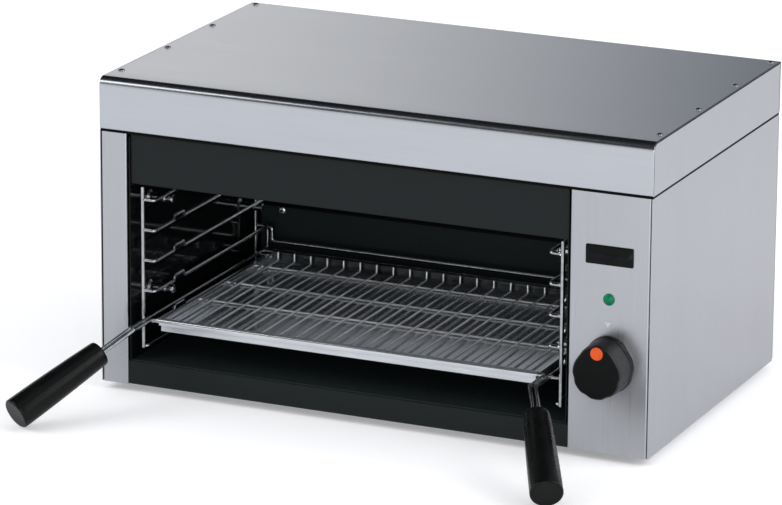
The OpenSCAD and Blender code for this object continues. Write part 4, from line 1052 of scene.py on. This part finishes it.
# %% Where the grips are
SPLAY, DROOP = math.radians(28.3), math.radians(23.8)
GRIP, NECK_R, END_R = 112, 13.25, 16.5
grip_axis = Vector((-math.sin(SPLAY) * math.cos(DROOP), -math.cos(SPLAY) * math.cos(DROOP), -math.sin(DROOP)))
WIRE_PITCH, HANDLE_OUT, BARE_WIRE = 5.5, 34.4, 43.5
inner_bend = Vector((WIRE_PITCH, grip_axis.x * WIRE_PITCH / (1 - grip_axis.y), 0))
grip_foot = Vector((SHELF_WIRE, -HANDLE_OUT, SHELF_Z)) + inner_bend / 2 + grip_axis * BARE_WIRE


def grip_radius(share):
    """Fuller towards the end, quickly at first and then slowly."""
    return NECK_R + (END_R - NECK_R) * (1 - (1 - share) ** 1.6)


print("grip radius half way:", round(grip_radius(0.5), 2), "mm")

# %% Grips
RIM = 2.2
grip_profile = [(0, 0), (0, NECK_R - 1.4), (0.25, NECK_R - 0.6), (0.8, NECK_R - 0.15)]
grip_profile += [(t, grip_radius(t / GRIP)) for t in range(2, 110, 6)]
for k in range(7):
    turn = math.radians(90 * k / 6)
    grip_profile.append((GRIP - RIM * (1 - math.sin(turn)), END_R - RIM * (1 - math.cos(turn))))
grip_profile += [(GRIP - 0.05, END_R - 4), (GRIP - 0.15, END_R - 8), (GRIP - 0.2, 0)]


def mould_line(k, radius):
    """A ridge of a tenth of a millimetre along two opposite sides of the larger radii."""
    return 0.1 if k in (0, 48) and radius > NECK_R - 0.2 else 0


for side, name in ((1, "grip_left"), (-1, "grip_right")):
    foot = grip_foot.copy()
    axis = grip_axis.copy()
    if side < 0:
        foot.x = 2 * OVEN_MIDDLE - foot.x
        axis.x = -axis.x
    mesh = turned(name + "_fine", at(*foot), axis, grip_profile, 96, mould_line)
    made = piece(name + "_fine", shaded(mesh, phenolic), "shelf", name)
    low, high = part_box(name)
    print(name, "CAD size", [round((high[i] - low[i]) / MM, 1) for i in range(3)],
          "here", [round(v / MM, 1) for v in made.dimensions])

# %% [markdown]
# ## Lens, plate and index mark
# The lamp's lens is clear green plastic with a low dome and a flat rim, and small prisms inside that scatter
# the light. It is turned, as its mould was.

# %% Lamp lens
NEON_Z, NEON_R, DOME_R = 158.5, 6.0, 9.6
lens_profile = [(0, 0), (0, NEON_R), (0.7, NEON_R), (0.9, NEON_R - 0.15), (1.0, NEON_R - 0.5)]
dome = [(3 - DOME_R + math.sqrt(DOME_R ** 2 - r ** 2), r) for r in (5.2, 4.6, 3.8, 2.9, 1.9, 0.9, 0)]
lens_mesh = turned("neon_lens_fine", at(KNOB_X, 0, NEON_Z), FRONT, lens_profile + dome, 48)
piece("neon_lens_fine", shaded(lens_mesh, neon_green), "casing", "neon_lens")

# %% [markdown]
# The plate above the lamp is bare, with rounded corners and a polished bevel. Its outline is drawn in a
# little at each depth.

# %% Bare plate
PLATE_Z, PLATE_W, PLATE_H, PLATE_R = 203, 50, 19.5, 1.5


def plate_ring(out, inset, steps=5):
    """The plate's rounded outline drawn in by inset, at a distance out from the panel."""
    ring = []
    r = max(PLATE_R - inset, 0.2)
    for corner, (right, up) in enumerate(((1, 1), (-1, 1), (-1, -1), (1, -1))):
        for k in range(steps + 1):
            angle = math.radians(90 * (corner + k / steps))
            u = right * (PLATE_W / 2 - inset - r) + r * math.cos(angle)
            v = up * (PLATE_H / 2 - inset - r) + r * math.sin(angle)
            ring.append(at(KNOB_X + u, -out, PLATE_Z + v))
    return ring


plate_rings = [plate_ring(0, 0), plate_ring(0.75, 0), plate_ring(0.95, 0.08), plate_ring(1.2, 0.5)]
piece("front_plate_fine", shaded(skin("front_plate_fine", plate_rings), acrylic), "casing", "front_plate")

# %% [markdown]
# The index mark is a small triangle that points down at the knob. It is printed, so it is as thin as ink.

# %% Index mark
INDEX_X, INDEX_Z, INK = 555.4, 132.4, 0.06
corners = ((-3.4, 2.6), (3.4, 2.6), (0, -2.8))
mark = [[at(INDEX_X + x, -out, INDEX_Z + z) for x, z in corners] for out in (0, INK)]
piece("index_mark", shaded(skin("index_mark", mark), mark_ink), "casing")

# %% [markdown]
# ## Cable gland
# The cable leaves at the back through a moulded gland: a hexagonal flange against the casing and a domed nut
# whose ribs let a hand tighten it. The body is turned with its bore, and a tree sets the ribs round the nut.

# %% Gland nut and flange
GLAND_Z, BORE = 45, 4.5
gland_place = at(KNOB_X, CASE_D, GLAND_Z)
gland_profile = [(-14, BORE), (-14, 8), (4.6, 8), (4.8, 8.8), (5.2, 8.8), (7.4, 8.6), (8.6, 7.6), (9, 6.2),
                 (9, BORE + 0.6), (8.5, BORE)]
nut_mesh = turned("gland_nut_dome", gland_place, BACK, gland_profile, 48, loop=True)
flange_profile = [(0, 7.5), (0, 11.6), (0.4, 12), (4.2, 12), (5, 11.2), (5, 7.5)]
flange_mesh = turned("gland_flange", gland_place, BACK, flange_profile, 6, loop=True)
print("nut:", len(nut_mesh.polygons), "faces, flange:", len(flange_mesh.polygons))

# %% Cable gland
tree, rib = geometry_tree("gland_ribs", {
    "Ribs": 24, "Radius": 0.0088, "Length": 0.003, "Thickness": 0.0004, "Place": (0.0, 0.0, 0.0)})
ring = add(tree, "GeometryNodeMeshCircle", {"Vertices": rib["Ribs"], "Radius": rib["Radius"]})
half = add(tree, "GeometryNodeMeshCylinder", {
    "Vertices": 8, "Radius": rib["Thickness"], "Depth": rib["Length"]})
stood = add(tree, "GeometryNodeInstanceOnPoints", {"Points": ring, "Instance": half})
laid = add(tree, "GeometryNodeTransform", {
    "Geometry": stood, "Translation": rib["Place"], "Rotation": (math.pi / 2, 0, 0)})
rib_tree = end_tree(tree, laid)
rib_mesh = grown("gland_ribs", rib_tree, polyamide, {"Place": at(KNOB_X, CASE_D + 6.7, GLAND_Z)})
work = bmesh.new()
for mesh in (nut_mesh, flange_mesh, rib_mesh):
    work.from_mesh(mesh)
gland_mesh = bpy.data.meshes.new("cable_gland_fine")
work.to_mesh(gland_mesh)
work.free()
piece("cable_gland_fine", shaded(gland_mesh, polyamide), "casing", "cable_gland")
